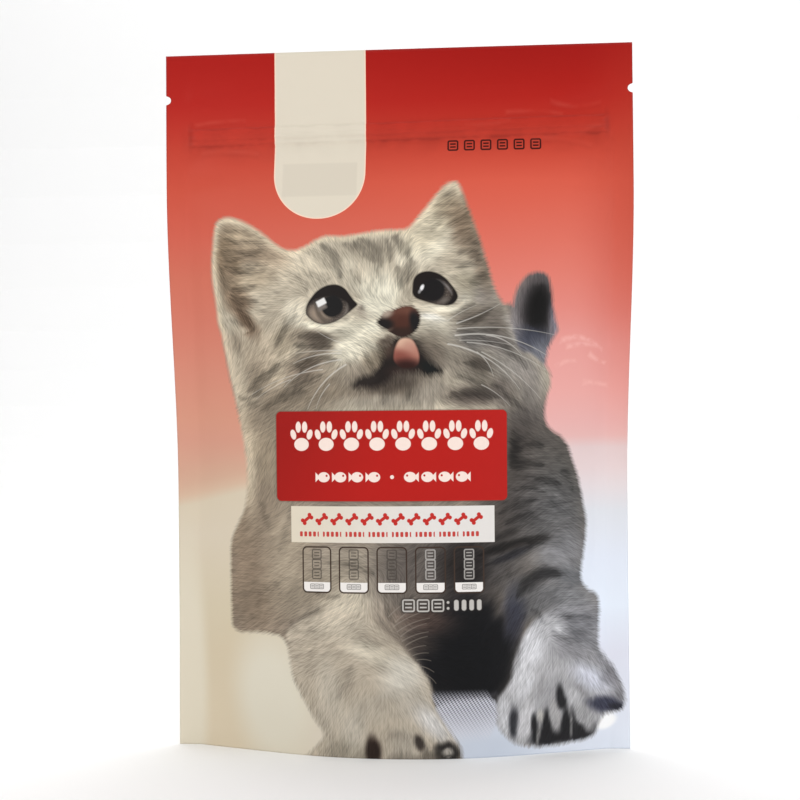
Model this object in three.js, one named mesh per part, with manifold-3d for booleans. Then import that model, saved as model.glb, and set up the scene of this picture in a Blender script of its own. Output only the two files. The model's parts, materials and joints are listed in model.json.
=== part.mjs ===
// A sealed stand-up pouch of dry pet food, standing on its bottom gusset.
//
// Two printed panels are heat-sealed to each other along both sides and the top. A third web, the
// gusset, is sealed into the bottom: its edge follows an arc on each panel, low at the middle and high
// at the sides, so each panel carries on below the arc as a skirt that stands on the floor. The food
// bulges the panels, which draws the side seals in. A press-to-close zipper lies inside, under the
// top seal, and shows on both panels as a low band. A tear notch is cut in each side seal above it.
//
// Frame, in millimetres: Z up, X across the pouch, the front panel faces -Y. The origin is on the
// floor, at the middle of the foot. The sealed pack is one closed solid.

import * as THREE from "three";
import { ParametricGeometry } from "three/addons/geometries/ParametricGeometry.js";
import { mergeVertices } from "three/addons/utils/BufferGeometryUtils.js";
import Module from "manifold-3d";

// Driving dimensions.
const FLAT_WIDTH = 200; // the empty pouch, laid flat
const HEIGHT = 297; // the filled pouch, standing
const SIDE_SEAL = 10;
const SEAM = 0.6; // both panels together, where they are sealed
const FILLED_HALF_WIDTH = 96.1; // half the width where the food holds the panels apart
const FILL_LOW = 110; // the side seals start to lean out here,
const FILL_HIGH = 240; // and reach the flat width here
const SLACK = 0.5; // how far an empty stretch of panel stands off the other one

// The gusset, and the skirts below the arcs that it is sealed along.
const SKIRT_MIDDLE = 8;
const SKIRT_SIDES = 46;
const SKIRT_WALL = 0.6;
const ARC_POWER = 2.6;
const FLOOR_SAG = 14; // how far the sagging web would drop below the arc, if the floor let it

// The zipper band and the tear notches, measured down from the top edge.
const ZIPPER_TOP = 32.5;
const ZIPPER_BOTTOM = 40;
const ZIPPER_STANDS = 0.7;
const NOTCH_DROP = 19.3;
const NOTCH_DEPTH = 2.1;
const NOTCH_RADIUS = 1.3;
const NOTCH_MOUTH = 3.1;

// How finely the curved surfaces are faceted.
const CHAMBER_STATIONS = 22;
const PANEL_ROWS = 34;
const GUSSET_COLUMNS = 34;
const GUSSET_ROWS = 10;

const wasm = await Module();
wasm.setup();

// Half the width over the side seals at a height z.
function halfWidth(z) {
  const lean = THREE.MathUtils.smoothstep(z, FILL_LOW, FILL_HIGH);
  return THREE.MathUtils.lerp(FILLED_HALF_WIDTH, FLAT_WIDTH / 2, lean);
}

// How far a panel bulges at a height z. The film between the side seals keeps its flat width, so the
// less room it has between them, the deeper the curve that it makes.
function bulge(z) {
  const film = FLAT_WIDTH - 2 * SIDE_SEAL;
  const chord = 2 * (halfWidth(z) - SIDE_SEAL);
  return chord * Math.sqrt(0.375 * Math.max(film / chord - 1, 0)) + SLACK;
}

// How far the panel's outer face stands from the middle plane at (x, z).
function panelDepth(x, z) {
  const across = x / (halfWidth(z) - SIDE_SEAL);
  return SEAM / 2 + bulge(z) * Math.max(1 - across * across, 0);
}

// The stations across a panel: a seal's edge, the chamber from seal to seal, the other seal's edge.
function stationX(station, z) {
  const outer = halfWidth(z);
  if (station === 0) return -outer;
  if (station === CHAMBER_STATIONS + 2) return outer;
  const turn = (Math.PI * (station - 1)) / CHAMBER_STATIONS;
  return -(outer - SIDE_SEAL) * Math.cos(turn);
}

// A closed surface as a manifold-3d solid. Triangles that have closed up to a line are dropped.
function toSolid(geometry) {
  const bare = new THREE.BufferGeometry();
  bare.setAttribute("position", geometry.getAttribute("position"));
  bare.setIndex(geometry.index);
  const merged = mergeVertices(bare, 1e-4);
  const corners = Array.from(merged.index.array);
  const kept = [];
  for (let i = 0; i < corners.length; i += 3) {
    const [a, b, c] = corners.slice(i, i + 3);
    if (a !== b && b !== c && c !== a) kept.push(a, b, c);
  }
  const mesh = new wasm.Mesh({
    numProp: 3,
    vertProperties: new Float32Array(merged.getAttribute("position").array),
    triVerts: new Uint32Array(kept),
  });
  return new wasm.Manifold(mesh);
}

// Both panels with their seals, as one closed skin. Its first and last rows close over the ends.
function panelsSolid() {
  const stations = CHAMBER_STATIONS + 2;
  const rows = PANEL_ROWS + 2;
  const place = (u, v, target) => {
    const row = Math.round(v * rows);
    const z = (HEIGHT * THREE.MathUtils.clamp(row - 1, 0, PANEL_ROWS)) / PANEL_ROWS;
    const around = Math.round(u * 2 * stations) % (2 * stations);
    const onBack = around > stations;
    const x = stationX(onBack ? 2 * stations - around : around, z);
    const open = row === 0 || row === rows ? 0 : 1;
    const depth = open * panelDepth(x, z);
    target.set(x, onBack ? depth : -depth, z);
  };
  return closedRing(place, stations, rows);
}

// The ring's first and last stations are shared by the panels, so the seal's cut edge needs points of
// its own on both sides: the ring runs along the front, steps over the edge and runs along the back.
function closedRing(place, stations, rows) {
  const edge = new THREE.Vector3();
  const stepped = (u, v, target) => {
    const steps = 2 * stations + 2;
    const at = Math.round(u * steps) % steps;
    const onBack = at > stations;
    place((onBack ? at - 1 : at) / (2 * stations), v, edge);
    const depth = Math.abs(edge.y);
    target.set(edge.x, onBack ? depth : -depth, edge.z);
  };
  return toSolid(new ParametricGeometry(stepped, 2 * stations + 2, rows));
}

// The height of the arc that the gusset is sealed along, at a distance x from the middle.
function arcHeight(x) {
  const share = Math.min(Math.abs(x) / (FILLED_HALF_WIDTH - SIDE_SEAL), 1);
  return SKIRT_MIDDLE + (SKIRT_SIDES - SKIRT_MIDDLE) * share ** ARC_POWER;
}

// The space under the gusset, between the skirts. Across the pouch the web sags from arc to arc, and
// where it would drop below the floor it lies on it, so nothing is cut there.
function underGusset() {
  const reach = FILLED_HALF_WIDTH - SIDE_SEAL - 1;
  const below = -FLOOR_SAG - SKIRT_WALL;
  const columns = GUSSET_COLUMNS;
  const rows = GUSSET_ROWS + 2;
  const place = (u, v, target) => {
    const x = THREE.MathUtils.lerp(-reach, reach, u);
    const row = Math.round(v * rows);
    const across = THREE.MathUtils.clamp((row - 1) / GUSSET_ROWS, 0, 1) * 2 - 1;
    const wall = Math.max(panelDepth(x, 0) - SKIRT_WALL, 0.01);
    const open = Math.sqrt(wall / bulge(0));
    const sag = FLOOR_SAG * open * (1 - Math.abs(across) ** 3);
    const top = row > 0 && row < rows;
    target.set(x, across * wall, top ? arcHeight(x) - sag : below);
  };
  const roof = new ParametricGeometry(place, columns, rows);
  return toSolid(closedBelow(roof, columns, rows));
}

// Closes a roof whose first and last rows lie on one level: a floor joins those rows, and an end wall
// fills each side.
function closedBelow(roof, columns, rows) {
  const index = Array.from(roof.index.array);
  const at = (column, row) => row * (columns + 1) + column;
  for (let column = 0; column < columns; column++) {
    index.push(at(column, 0), at(column, rows), at(column + 1, 0));
    index.push(at(column + 1, 0), at(column, rows), at(column + 1, rows));
  }
  for (let row = 1; row < rows; row++) {
    index.push(at(0, 0), at(0, row), at(0, row + 1));
    index.push(at(columns, 0), at(columns, row + 1), at(columns, row));
  }
  roof.setIndex(index);
  return roof;
}

// The zipper: a flat band across the chamber, with sloped edges, standing off both panels.
function zipperBand() {
  const top = HEIGHT - ZIPPER_TOP;
  const bottom = HEIGHT - ZIPPER_BOTTOM;
  const stands = SEAM / 2 + SLACK + ZIPPER_STANDS;
  const slope = ZIPPER_STANDS;
  const section = new THREE.Shape()
    .moveTo(0, bottom)
    .lineTo(stands, bottom + slope)
    .lineTo(stands, top - slope)
    .lineTo(0, top)
    .lineTo(-stands, top - slope)
    .lineTo(-stands, bottom + slope);
  const length = FLAT_WIDTH - 2 * SIDE_SEAL;
  const band = new THREE.ExtrudeGeometry(section, { depth: length, bevelEnabled: false });
  band.applyMatrix4(new THREE.Matrix4().makeBasis(
    new THREE.Vector3(0, 1, 0),
    new THREE.Vector3(0, 0, 1),
    new THREE.Vector3(1, 0, 0),
  ));
  band.translate(-length / 2, 0, 0);
  return toSolid(band);
}

// A tear notch: a wide mouth that runs in to a round end. side is 1 on the right, -1 on the left.
function tearNotch(side) {
  const z = HEIGHT - NOTCH_DROP;
  const edge = halfWidth(z);
  const centre = edge - NOTCH_DEPTH + NOTCH_RADIUS;
  const beyond = edge + NOTCH_RADIUS;
  const outline = new THREE.Shape()
    .moveTo(beyond, z + NOTCH_MOUTH)
    .lineTo(centre, z + NOTCH_RADIUS)
    .absarc(centre, z, NOTCH_RADIUS, Math.PI / 2, (3 * Math.PI) / 2, false)
    .lineTo(beyond, z - NOTCH_MOUTH);
  const through = 4 * SEAM;
  const cutter = new THREE.ExtrudeGeometry(outline, {
    depth: through,
    bevelEnabled: false,
    curveSegments: 8,
  });
  cutter.translate(0, 0, -through / 2);
  cutter.rotateX(Math.PI / 2);
  if (side < 0) cutter.rotateZ(Math.PI);
  return toSolid(cutter);
}

// The solid as a three.js geometry.
function toGeometry(solid) {
  const mesh = solid.getMesh();
  const geometry = new THREE.BufferGeometry();
  geometry.setAttribute("position", new THREE.BufferAttribute(mesh.vertProperties, 3));
  geometry.setIndex(new THREE.BufferAttribute(mesh.triVerts, 1));
  geometry.computeVertexNormals();
  return geometry;
}

const solid = panelsSolid()
  .subtract(underGusset())
  .add(zipperBand())
  .subtract(tearNotch(1))
  .subtract(tearNotch(-1));

const pouch = new THREE.Mesh(
  toGeometry(solid),
  new THREE.MeshStandardMaterial({ color: 0xcf5444, roughness: 0.5, metalness: 0 }),
);
pouch.name = "sealed_pouch";

const group = new THREE.Group();
group.add(pouch);

export default group;
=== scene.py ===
"""A sealed stand-up bag of dry cat food, made from three printed films.

The front and back panels are inflated from their flat cut: each is a sheet that keeps its lengths,
sealed along both sides and the top, pushed out by the food. The gusset is the third film. The print
is painted in bag millimetres: u runs across the flat panel from its middle, v up from its foot.
"""

import json
import math

import bpy
import numpy as np
from mathutils import Matrix, Vector

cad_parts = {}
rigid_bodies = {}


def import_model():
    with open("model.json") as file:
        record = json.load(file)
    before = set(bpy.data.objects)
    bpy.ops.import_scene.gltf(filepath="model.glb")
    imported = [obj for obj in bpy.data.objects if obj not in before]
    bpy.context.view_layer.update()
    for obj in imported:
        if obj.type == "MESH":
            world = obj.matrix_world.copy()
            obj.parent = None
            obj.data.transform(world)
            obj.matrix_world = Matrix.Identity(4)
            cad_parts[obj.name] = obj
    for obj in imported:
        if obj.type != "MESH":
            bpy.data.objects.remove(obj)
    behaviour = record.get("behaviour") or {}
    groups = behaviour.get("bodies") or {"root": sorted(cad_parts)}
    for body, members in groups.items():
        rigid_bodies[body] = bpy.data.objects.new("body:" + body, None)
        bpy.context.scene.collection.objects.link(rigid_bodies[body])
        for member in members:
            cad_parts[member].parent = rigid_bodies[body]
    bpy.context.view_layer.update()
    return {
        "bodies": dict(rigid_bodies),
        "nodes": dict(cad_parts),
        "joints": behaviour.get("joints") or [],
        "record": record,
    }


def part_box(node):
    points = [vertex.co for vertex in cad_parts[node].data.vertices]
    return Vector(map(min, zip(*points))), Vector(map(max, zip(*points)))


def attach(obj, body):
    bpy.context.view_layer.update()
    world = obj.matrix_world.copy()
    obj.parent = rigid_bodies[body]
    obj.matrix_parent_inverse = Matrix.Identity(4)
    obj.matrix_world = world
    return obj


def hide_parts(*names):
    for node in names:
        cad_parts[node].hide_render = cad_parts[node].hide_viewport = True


MM = 0.001
SEED = 7

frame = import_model()
pouch_low, pouch_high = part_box("sealed_pouch")

# ---------------------------------------------------------------- sizes, in millimetres

WIDTH = (pouch_high[0] - pouch_low[0]) / MM
HEIGHT = (pouch_high[2] - pouch_low[2]) / MM
HALF_WIDTH = WIDTH / 2
SIDE_SEAL = 10
TOP_SEAL = 11
FILM = 0.15
CHAMBER = HALF_WIDTH - SIDE_SEAL

FILLED_HALF_WIDTH = 96.1  # half the width where the food holds the panels apart
FILL_LOW, FILL_HIGH = 110, 240  # the side seals lean out between these heights
SLACK = 0.5

SKIRT_MIDDLE, SKIRT_SIDES, ARC_POWER = 8, 46, 2.6
FLOOR_SAG = 14

ZIPPER_TOP, ZIPPER_TRACK, ZIPPER_BOTTOM = HEIGHT - 32.5, HEIGHT - 36.6, HEIGHT - 40
ZIPPER_SLOPE = 0.012  # it was sealed in a little askew
NOTCH_HEIGHT = HEIGHT - 19.3
NOTCH_DEPTH, NOTCH_HALF = 2.1, 1.95


# ---------------------------------------------------------------- small numeric helpers


def smoothstep(x, low, high):
    """0 below low, 1 above high, with a smooth step between them."""
    t = np.clip((x - low) / (high - low), 0, 1)
    return t * t * (3 - 2 * t)


def bump(x, centre, half):
    """A smooth hump of height 1 at centre that ends half away on each side."""
    t = np.clip(1 - ((x - centre) / half) ** 2, 0, 1)
    return t * t


def lattice_noise(u, v, size, rng):
    """Smooth noise from about -1 to 1 whose blobs are about size = (across, up) wide."""
    columns = int(math.ceil(np.ptp(u) / size[0])) + 4
    rows = int(math.ceil(np.ptp(v) / size[1])) + 4
    knots = rng.uniform(-1, 1, (rows, columns))
    x = (u - u.min()) / size[0] + 1
    y = (v - v.min()) / size[1] + 1
    return cubic_sample(knots, y, x) * 1.5


def cubic_weights(t):
    """The four uniform cubic B-spline weights at a fraction t between two knots."""
    return (
        (1 - t) ** 3 / 6,
        (3 * t**3 - 6 * t**2 + 4) / 6,
        (-3 * t**3 + 3 * t**2 + 3 * t + 1) / 6,
        t**3 / 6,
    )


def cubic_sample(knots, row, column):
    """Cubic B-spline values of a grid of knots at fractional rows and columns."""
    i = np.floor(row).astype(int)
    j = np.floor(column).astype(int)
    total = 0
    for a, row_weight in enumerate(cubic_weights(row - i)):
        for b, column_weight in enumerate(cubic_weights(column - j)):
            at_row = np.clip(i - 1 + a, 0, knots.shape[0] - 1)
            at_column = np.clip(j - 1 + b, 0, knots.shape[1] - 1)
            total = total + row_weight * column_weight * knots[at_row, at_column]
    return total


# ---------------------------------------------------------------- the shape of the bag


def half_width(z):
    """Half the width over the side seals at a height z."""
    lean = smoothstep(z, FILL_LOW, FILL_HIGH)
    return FILLED_HALF_WIDTH + (HALF_WIDTH - FILLED_HALF_WIDTH) * lean


def bulge(z):
    """How far a panel stands out: film of a fixed width over a shorter chord."""
    film = 2 * CHAMBER
    chord = 2 * (half_width(z) - SIDE_SEAL)
    return chord * np.sqrt(0.375 * np.maximum(film / chord - 1, 0)) + SLACK


def arc_height(u):
    """The height of the arc that the gusset is sealed along."""
    share = np.minimum(np.abs(u) / CHAMBER, 1)
    return SKIRT_MIDDLE + (SKIRT_SIDES - SKIRT_MIDDLE) * share**ARC_POWER


def seal_line(v):
    """How far the side seals wander front to back: a soft S, since film is never quite flat."""
    return 0.9 * np.sin(v / 62 + 0.6) * smoothstep(v, 0, 60) * (1 - 0.6 * smoothstep(v, 250, 297))


def first_shape(u, v, facing):
    """A panel's points before it settles: the section is a parabola between the seals."""
    chamber = half_width(v) - SIDE_SEAL
    inside = np.clip(u / CHAMBER, -1, 1)
    x = inside * chamber + np.sign(u) * np.maximum(np.abs(u) - CHAMBER, 0)
    y = facing * (FILM + bulge(v) * (1 - inside**2)) + seal_line(v)
    return np.stack([x, y, v], axis=-1)


# ---------------------------------------------------------------- settling the film

SHEET_STEP = 2.2  # spacing of the settling sheet's points
SHEET_ROUNDS = 900
LENGTH_SPARE = 1.0035  # the film is this much longer than the standing height
PUSH = 0.0005  # how far the food pushes a point out in one round
GLIDE = 0.93  # how much of its last move a point keeps

# The links between a sheet's points: row step, column step, stiffness. The long ones resist bends.
LINKS = (
    (0, 1, 1.0),
    (1, 0, 1.0),
    (1, 1, 0.3),
    (1, -1, 0.3),
    (0, 2, 0.1),
    (2, 0, 0.25),
    (0, 4, 0.04),
    (4, 0, 0.12),
)


def link_ends(shape, row_step, column_step):
    """The two ends of every link of a kind, in turns where no point is used twice."""
    rows, columns = shape
    stride = 2 * (row_step or column_step)
    for start in range(stride):
        if row_step:
            right, left = max(0, column_step), max(0, -column_step)
            near = slice(start, rows - row_step, stride), slice(left, columns - right)
            far = slice(start + row_step, rows, stride), slice(right, columns - left)
        else:
            near = slice(0, rows), slice(start, columns - column_step, stride)
            far = slice(0, rows), slice(start + column_step, columns, stride)
        yield near, far


def pull_links(points, weight, across, up):
    """Brings every linked pair of points back towards its rest length."""
    for row_step, column_step, stiffness in LINKS:
        rest = math.hypot(row_step * up, column_step * across)
        for near, far in link_ends(weight.shape, row_step, column_step):
            gap = points[far] - points[near]
            length = np.sqrt((gap**2).sum(-1)) + 1e-9
            total = np.maximum(weight[near] + weight[far], 1e-9)
            share = stiffness * (length - rest) / length / total
            points[near] += (weight[near] * share)[..., None] * gap
            points[far] -= (weight[far] * share)[..., None] * gap


def outward(points, facing):
    """The unit normals of a sheet, on its outer side."""
    normal = np.cross(np.gradient(points, axis=1), np.gradient(points, axis=0))
    normal /= np.linalg.norm(normal, axis=-1, keepdims=True) + 1e-9
    return normal * -facing


def settle(facing, rng):
    """Inflates one panel. Returns its flat columns and rows, and its sheet of points."""
    u_line = np.linspace(-HALF_WIDTH, HALF_WIDTH, int(round(WIDTH / SHEET_STEP)) + 1)
    v_line = np.linspace(0, HEIGHT, int(round(HEIGHT / SHEET_STEP)) + 1)
    u, v = np.meshgrid(u_line, v_line)
    points = first_shape(u, v, facing)
    held = (np.abs(u) >= CHAMBER - 0.1) | (v >= HEIGHT - TOP_SEAL)
    anchor = points[held].copy()
    points[..., 1] += 0.5 * lattice_noise(u, v, (18, 12), rng) * ~held
    weight = np.where(held, 0.0, 1.0)
    push = (1 - smoothstep(v, 228, 258)) * smoothstep(v - arc_height(u), -14, 6)
    across = u_line[1] - u_line[0]
    up = (v_line[1] - v_line[0]) * LENGTH_SPARE
    zipper = (v >= ZIPPER_BOTTOM - 1) & (v <= ZIPPER_TOP + 1) & ~held
    middle = seal_line(v)
    before = points.copy()
    for _ in range(SHEET_ROUNDS):
        step = (points - before) * (GLIDE * weight)[..., None]
        before = points.copy()
        points += step + outward(points, facing) * (PUSH * push * weight)[..., None]
        pull_links(points, weight, across, up)
        stand = np.maximum(facing * (points[..., 1] - middle), FILM)
        stand[zipper] = FILM + SLACK
        points[..., 1] = middle + facing * stand
        points[0, :, 2] = 0
        points[held] = anchor
    return u_line, v_line, points


# ---------------------------------------------------------------- the fine films

FINE_COLUMNS, BACK_COLUMNS = 224, 150
PRINT_STEP = 0.68  # spacing of the front's rows where the picture is
BACK_STEP = 1.5
PLAIN_STEP = 1.8  # and of every panel's rows above the picture,
RELIEF_STEP = 0.5  # but for the zipper's
NOTCH_STEP = 0.36  # and the tear notches' rows


def row_heights(body_step):
    """The heights of a panel's rows: close together where there is something small to show."""
    stretches = (
        (0, ZIPPER_BOTTOM - 12, body_step),
        (ZIPPER_BOTTOM - 12, ZIPPER_BOTTOM - 2, PLAIN_STEP),
        (ZIPPER_BOTTOM - 2, ZIPPER_TOP + 5, RELIEF_STEP),
        (ZIPPER_TOP + 5, NOTCH_HEIGHT - 3, PLAIN_STEP),
        (NOTCH_HEIGHT - 3, NOTCH_HEIGHT + 3, NOTCH_STEP),
        (NOTCH_HEIGHT + 3, HEIGHT, PLAIN_STEP),
    )
    heights = [0.0]
    for low, high, step in stretches:
        count = max(1, round((high - low) / step))
        heights.extend(low + (high - low) * (k + 1) / count for k in range(count))
    return np.array(heights)


def notched(u, v):
    """Flat columns with the tear notches let in: the seals' columns close up towards the chamber."""
    t = np.clip(np.abs(v - NOTCH_HEIGHT) / NOTCH_HALF, 0, 1)
    depth = NOTCH_DEPTH * (1 - t**2.2) ** 0.6
    beyond = np.maximum(np.abs(u) - CHAMBER, 0)
    return np.sign(u) * (np.minimum(np.abs(u), CHAMBER) + beyond * (1 - depth / SIDE_SEAL))


BAND_RISE, TRACK_RISE, CRUSH_DEPTH = 0.7, 0.45, 0.45


def zipper_relief(u, v):
    """How far the zipper stands the film out: a flat band with a low track along its middle."""
    v = v - ZIPPER_SLOPE * (u + CHAMBER)
    edge = 0.5
    band = smoothstep(v, ZIPPER_BOTTOM - edge, ZIPPER_BOTTOM + edge)
    band *= 1 - smoothstep(v, ZIPPER_TOP - edge, ZIPPER_TOP + edge)
    track = bump(v, ZIPPER_TRACK, 1.3)
    ends = 1 - smoothstep(np.abs(u), CHAMBER - 3, CHAMBER + 1)
    crush = bump(np.abs(u), CHAMBER - 1, 3) * bump(v, (ZIPPER_BOTTOM + ZIPPER_TOP) / 2, 4)
    return (BAND_RISE * band + TRACK_RISE * track) * ends - CRUSH_DEPTH * crush


def sheet_sampler(facing):
    """Settles a panel and returns the function that samples it at flat coordinates (u, v).

    A sample is a point and, last, how far across the film it lies from the middle.
    """
    rng = np.random.default_rng(SEED + facing)
    u_line, v_line, points = settle(facing, rng)
    middle = len(u_line) // 2
    across = np.cumsum(np.linalg.norm(np.diff(points, axis=1, prepend=points[:, :1]), axis=-1), axis=1)
    across += u_line[middle] - across[:, middle:middle + 1]
    sheet = np.concatenate([points, across[..., None]], axis=-1)
    knots = np.pad(sheet, ((1, 1), (1, 1), (0, 0)), mode="reflect", reflect_type="odd")

    def sample(u, v):
        """The settled sheet's values between its points."""
        column = (u - u_line[0]) / (u_line[1] - u_line[0]) + 1
        row = (v - v_line[0]) / (v_line[1] - v_line[0]) + 1
        return np.stack([cubic_sample(knots[..., k], row, column) for k in range(4)], axis=-1)

    return sample


BROAD_WAVES, BROAD_SIZE = 0.55, (46, 34)  # how deep the waves are, and how far across and up
SMALL_WAVES, SMALL_SIZE = 0.16, (15, 8)
RUMPLE_SIZE = (12, 4)
RUB_PLACE, RUB_RUMPLE = (78, 166), 0.4
CRUMPLE_HEIGHT, CRUMPLE = 264, 0.35


def soft_waves(u, v, rng):
    """The slow, slight unevenness of film that has been handled."""
    broad = BROAD_WAVES * lattice_noise(u, v, BROAD_SIZE, rng)
    small = SMALL_WAVES * lattice_noise(u, v, SMALL_SIZE, rng)
    free = 1 - smoothstep(np.abs(u), CHAMBER - 6, CHAMBER)
    free = free * (1 - smoothstep(v, HEIGHT - TOP_SEAL - 6, HEIGHT - TOP_SEAL))
    rumple = lattice_noise(u + 0.6 * v, v, RUMPLE_SIZE, rng)
    rub_u, rub_v = RUB_PLACE
    rubbed = bump(u, rub_u, 14) * bump(v - 0.25 * (rub_u - u), rub_v, 9)
    crumpled = bump(v, CRUMPLE_HEIGHT, 16) * smoothstep(np.abs(u), 10, 70) * free
    waves = (broad + small) * free * smoothstep(v, 0, 14)
    return waves + (RUB_RUMPLE * rubbed + CRUMPLE * crumpled) * rumple


PRINT_DROP, DROP_HEIGHT, DROP_REACH = 1.1, 228, 28  # the print sits a little low round there


def panel_grid(sample, facing, columns, body_step):
    """A panel's flat coordinates, its finished points and where its print lies, as grids.

    The print is laid by height up the bag, and across it by length along the film.
    """
    rng = np.random.default_rng(SEED + 20 + facing)
    u, v = np.meshgrid(np.linspace(-HALF_WIDTH, HALF_WIDTH, columns + 1), row_heights(body_step))
    u = notched(u, v)
    samples = sample(u, v)
    points, printed = samples[..., :3], samples[..., [3, 2]].copy()
    printed[..., 1] += PRINT_DROP * bump(printed[..., 1], DROP_HEIGHT, DROP_REACH)
    relief = zipper_relief(u, v) + soft_waves(u, v, rng)
    points[..., 1] += facing * relief
    least = seal_line(v) + facing * FILM
    points[..., 1] = facing * np.maximum(facing * points[..., 1], facing * least)
    points[..., 2] = np.maximum(points[..., 2], 0)
    return u, v, points, printed


def grid_faces(rows, columns, flip):
    """The quads of a grid of points that are numbered row by row."""
    start = (np.arange(rows - 1)[:, None] * columns + np.arange(columns - 1)[None, :]).ravel()
    quads = np.stack([start, start + 1, start + columns + 1, start + columns], axis=1)
    return quads[:, ::-1] if flip else quads


def make_mesh(name, points, quads, printed):
    """A smooth-shaded mesh object in metres. printed holds each point's (u, v) on the print."""
    mesh = bpy.data.meshes.new(name)
    mesh.vertices.add(len(points))
    mesh.vertices.foreach_set("co", (points * MM).astype(np.float32).ravel())
    mesh.loops.add(quads.size)
    mesh.loops.foreach_set("vertex_index", quads.astype(np.int32).ravel())
    mesh.polygons.add(len(quads))
    mesh.polygons.foreach_set("loop_start", np.arange(0, quads.size, 4, dtype=np.int32))
    mesh.polygons.foreach_set("use_smooth", np.ones(len(quads), dtype=bool))
    mesh.update(calc_edges=True)
    mesh.validate()
    piece = bpy.data.objects.new(name, mesh)
    bpy.context.collection.objects.link(piece)
    set_vectors(piece, "print_mm", *printed.T, np.zeros(len(printed)))
    return piece


def panel_piece(name, sample, facing, columns, body_step):
    """A panel as a piece: its outer face, and the cut edge that turns in to meet the other film."""
    u, v, points, printed = panel_grid(sample, facing, columns, body_step)
    rows, wide = u.shape
    ring = np.concatenate([
        np.arange(wide),
        np.arange(1, rows) * wide + wide - 1,
        (rows - 1) * wide + np.arange(wide - 2, -1, -1),
        np.arange(rows - 2, 0, -1) * wide,
    ])
    outer, printed = points.reshape(-1, 3), printed.reshape(-1, 2)
    u_ring, v_ring = u.ravel()[ring], v.ravel()[ring]
    inner = outer[ring].copy()
    on_seal = (np.abs(u_ring) > CHAMBER - NOTCH_DEPTH) | (v_ring > HEIGHT - 1)
    inner[on_seal, 1] = seal_line(v_ring)[on_seal]
    inner[~on_seal, 1] -= facing * 2 * FILM
    size = len(ring)
    turn = np.arange(size)
    after = (turn + 1) % size
    rim = np.stack([ring[turn], rows * wide + turn, rows * wide + after, ring[after]], axis=1)
    quads = grid_faces(rows, wide, flip=facing > 0)
    rim = rim if facing < 0 else rim[:, ::-1]
    return make_mesh(name, np.vstack([outer, inner]), np.vstack([quads, rim]),
                     np.vstack([printed, printed[ring]]))


# ---------------------------------------------------------------- the gusset

GUSSET_COLUMNS, LINING_ROWS, WEB_ROWS = 180, 10, 44


def gusset_piece(front, back):
    """The third film: it lines both skirts up to the arc and sags between the arcs to the floor."""
    u_line = np.linspace(-CHAMBER, CHAMBER, GUSSET_COLUMNS + 1)
    arc = arc_height(u_line)
    rows, flats = [], []
    climb = np.linspace(0, 1, LINING_ROWS + 1)[:-1]
    inset = 2 * FILM

    def lining(sample, facing, share):
        """A row of points just inside a panel, at a share of the arc's height."""
        points = sample(u_line, arc * share)[:, :3]
        points[:, 1] -= facing * inset
        points[:, 2] = np.maximum(points[:, 2], 0)
        return points

    front_arc, back_arc = lining(front, -1, 1.0), lining(back, 1, 1.0)
    for share in climb:
        rows.append(lining(front, -1, share))
        flats.append(arc * share)
    depth = np.abs(back_arc[:, 1] - front_arc[:, 1]) / 2
    opened = np.sqrt(depth / depth.max())
    for across in np.linspace(0, 1, WEB_ROWS + 1):
        side = 2 * across - 1
        points = front_arc * (1 - across) + back_arc * across
        sag = FLOOR_SAG * opened * (1 - abs(side) ** 3)
        height = arc - sag
        lifted = 0.5 * (height + np.sqrt(height**2 + 2.0))  # rests softly on the floor
        points[:, 2] = np.where(sag > 0, np.minimum(lifted, arc), height)
        rows.append(points)
        flats.append(arc + depth * (1 - abs(side)))
    for share in climb[::-1]:
        rows.append(lining(back, 1, share))
        flats.append(arc * share)
    points = np.stack(rows)
    points[..., 2] = np.maximum(points[..., 2], 0.0)
    flat = np.stack([np.broadcast_to(u_line, (len(rows), len(u_line))), np.stack(flats)], axis=-1)
    quads = grid_faces(len(rows), len(u_line), flip=True)
    return make_mesh("bottom_gusset", points.reshape(-1, 3), quads, flat.reshape(-1, 2))


# ---------------------------------------------------------------- shader maths


class Field:
    """A value that varies over the surface: the output of a shader node, with plain arithmetic."""

    def __init__(self, tree, socket):
        self.tree, self.socket = tree, socket

    def math(self, operation, *others, clamp=False):
        """One Math node, with this value first."""
        node = self.tree.nodes.new("ShaderNodeMath")
        node.operation, node.use_clamp = operation, clamp
        for index, value in enumerate((self, *others)):
            if isinstance(value, Field):
                self.tree.links.new(value.socket, node.inputs[index])
            else:
                node.inputs[index].default_value = value
        return Field(self.tree, node.outputs[0])

    def __add__(self, other):
        return self.math("ADD", other)

    def __sub__(self, other):
        return self.math("SUBTRACT", other)

    def __mul__(self, other):
        return self.math("MULTIPLY", other)

    def __truediv__(self, other):
        return self.math("DIVIDE", other)

    def __abs__(self):
        return self.math("ABSOLUTE")

    def least(self, other):
        """The smaller of two values."""
        return self.math("MINIMUM", other)

    def most(self, other):
        """The larger of two values."""
        return self.math("MAXIMUM", other)

    def times_plus(self, factor, extra, clamp=False):
        """This value times a factor, plus an extra."""
        return self.math("MULTIPLY_ADD", factor, extra, clamp=clamp)


def hypot(x, y):
    """The length of (x, y)."""
    return (x * x).times_plus(1.0, y * y).math("SQRT")


def cover(distance, soft=0.12):
    """How much ink lies at a signed distance from a shape's edge: 1 inside, 0 outside."""
    return distance.times_plus(-1 / soft, 0.5, clamp=True)


def box(u, v, centre, half, radius=0.0):
    """The signed distance to an upright rectangle with rounded corners."""
    x = abs(u - centre[0]) - (half[0] - radius)
    y = abs(v - centre[1]) - (half[1] - radius)
    return hypot(x.most(0.0), y.most(0.0)) + x.most(y).least(0.0) - radius


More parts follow.
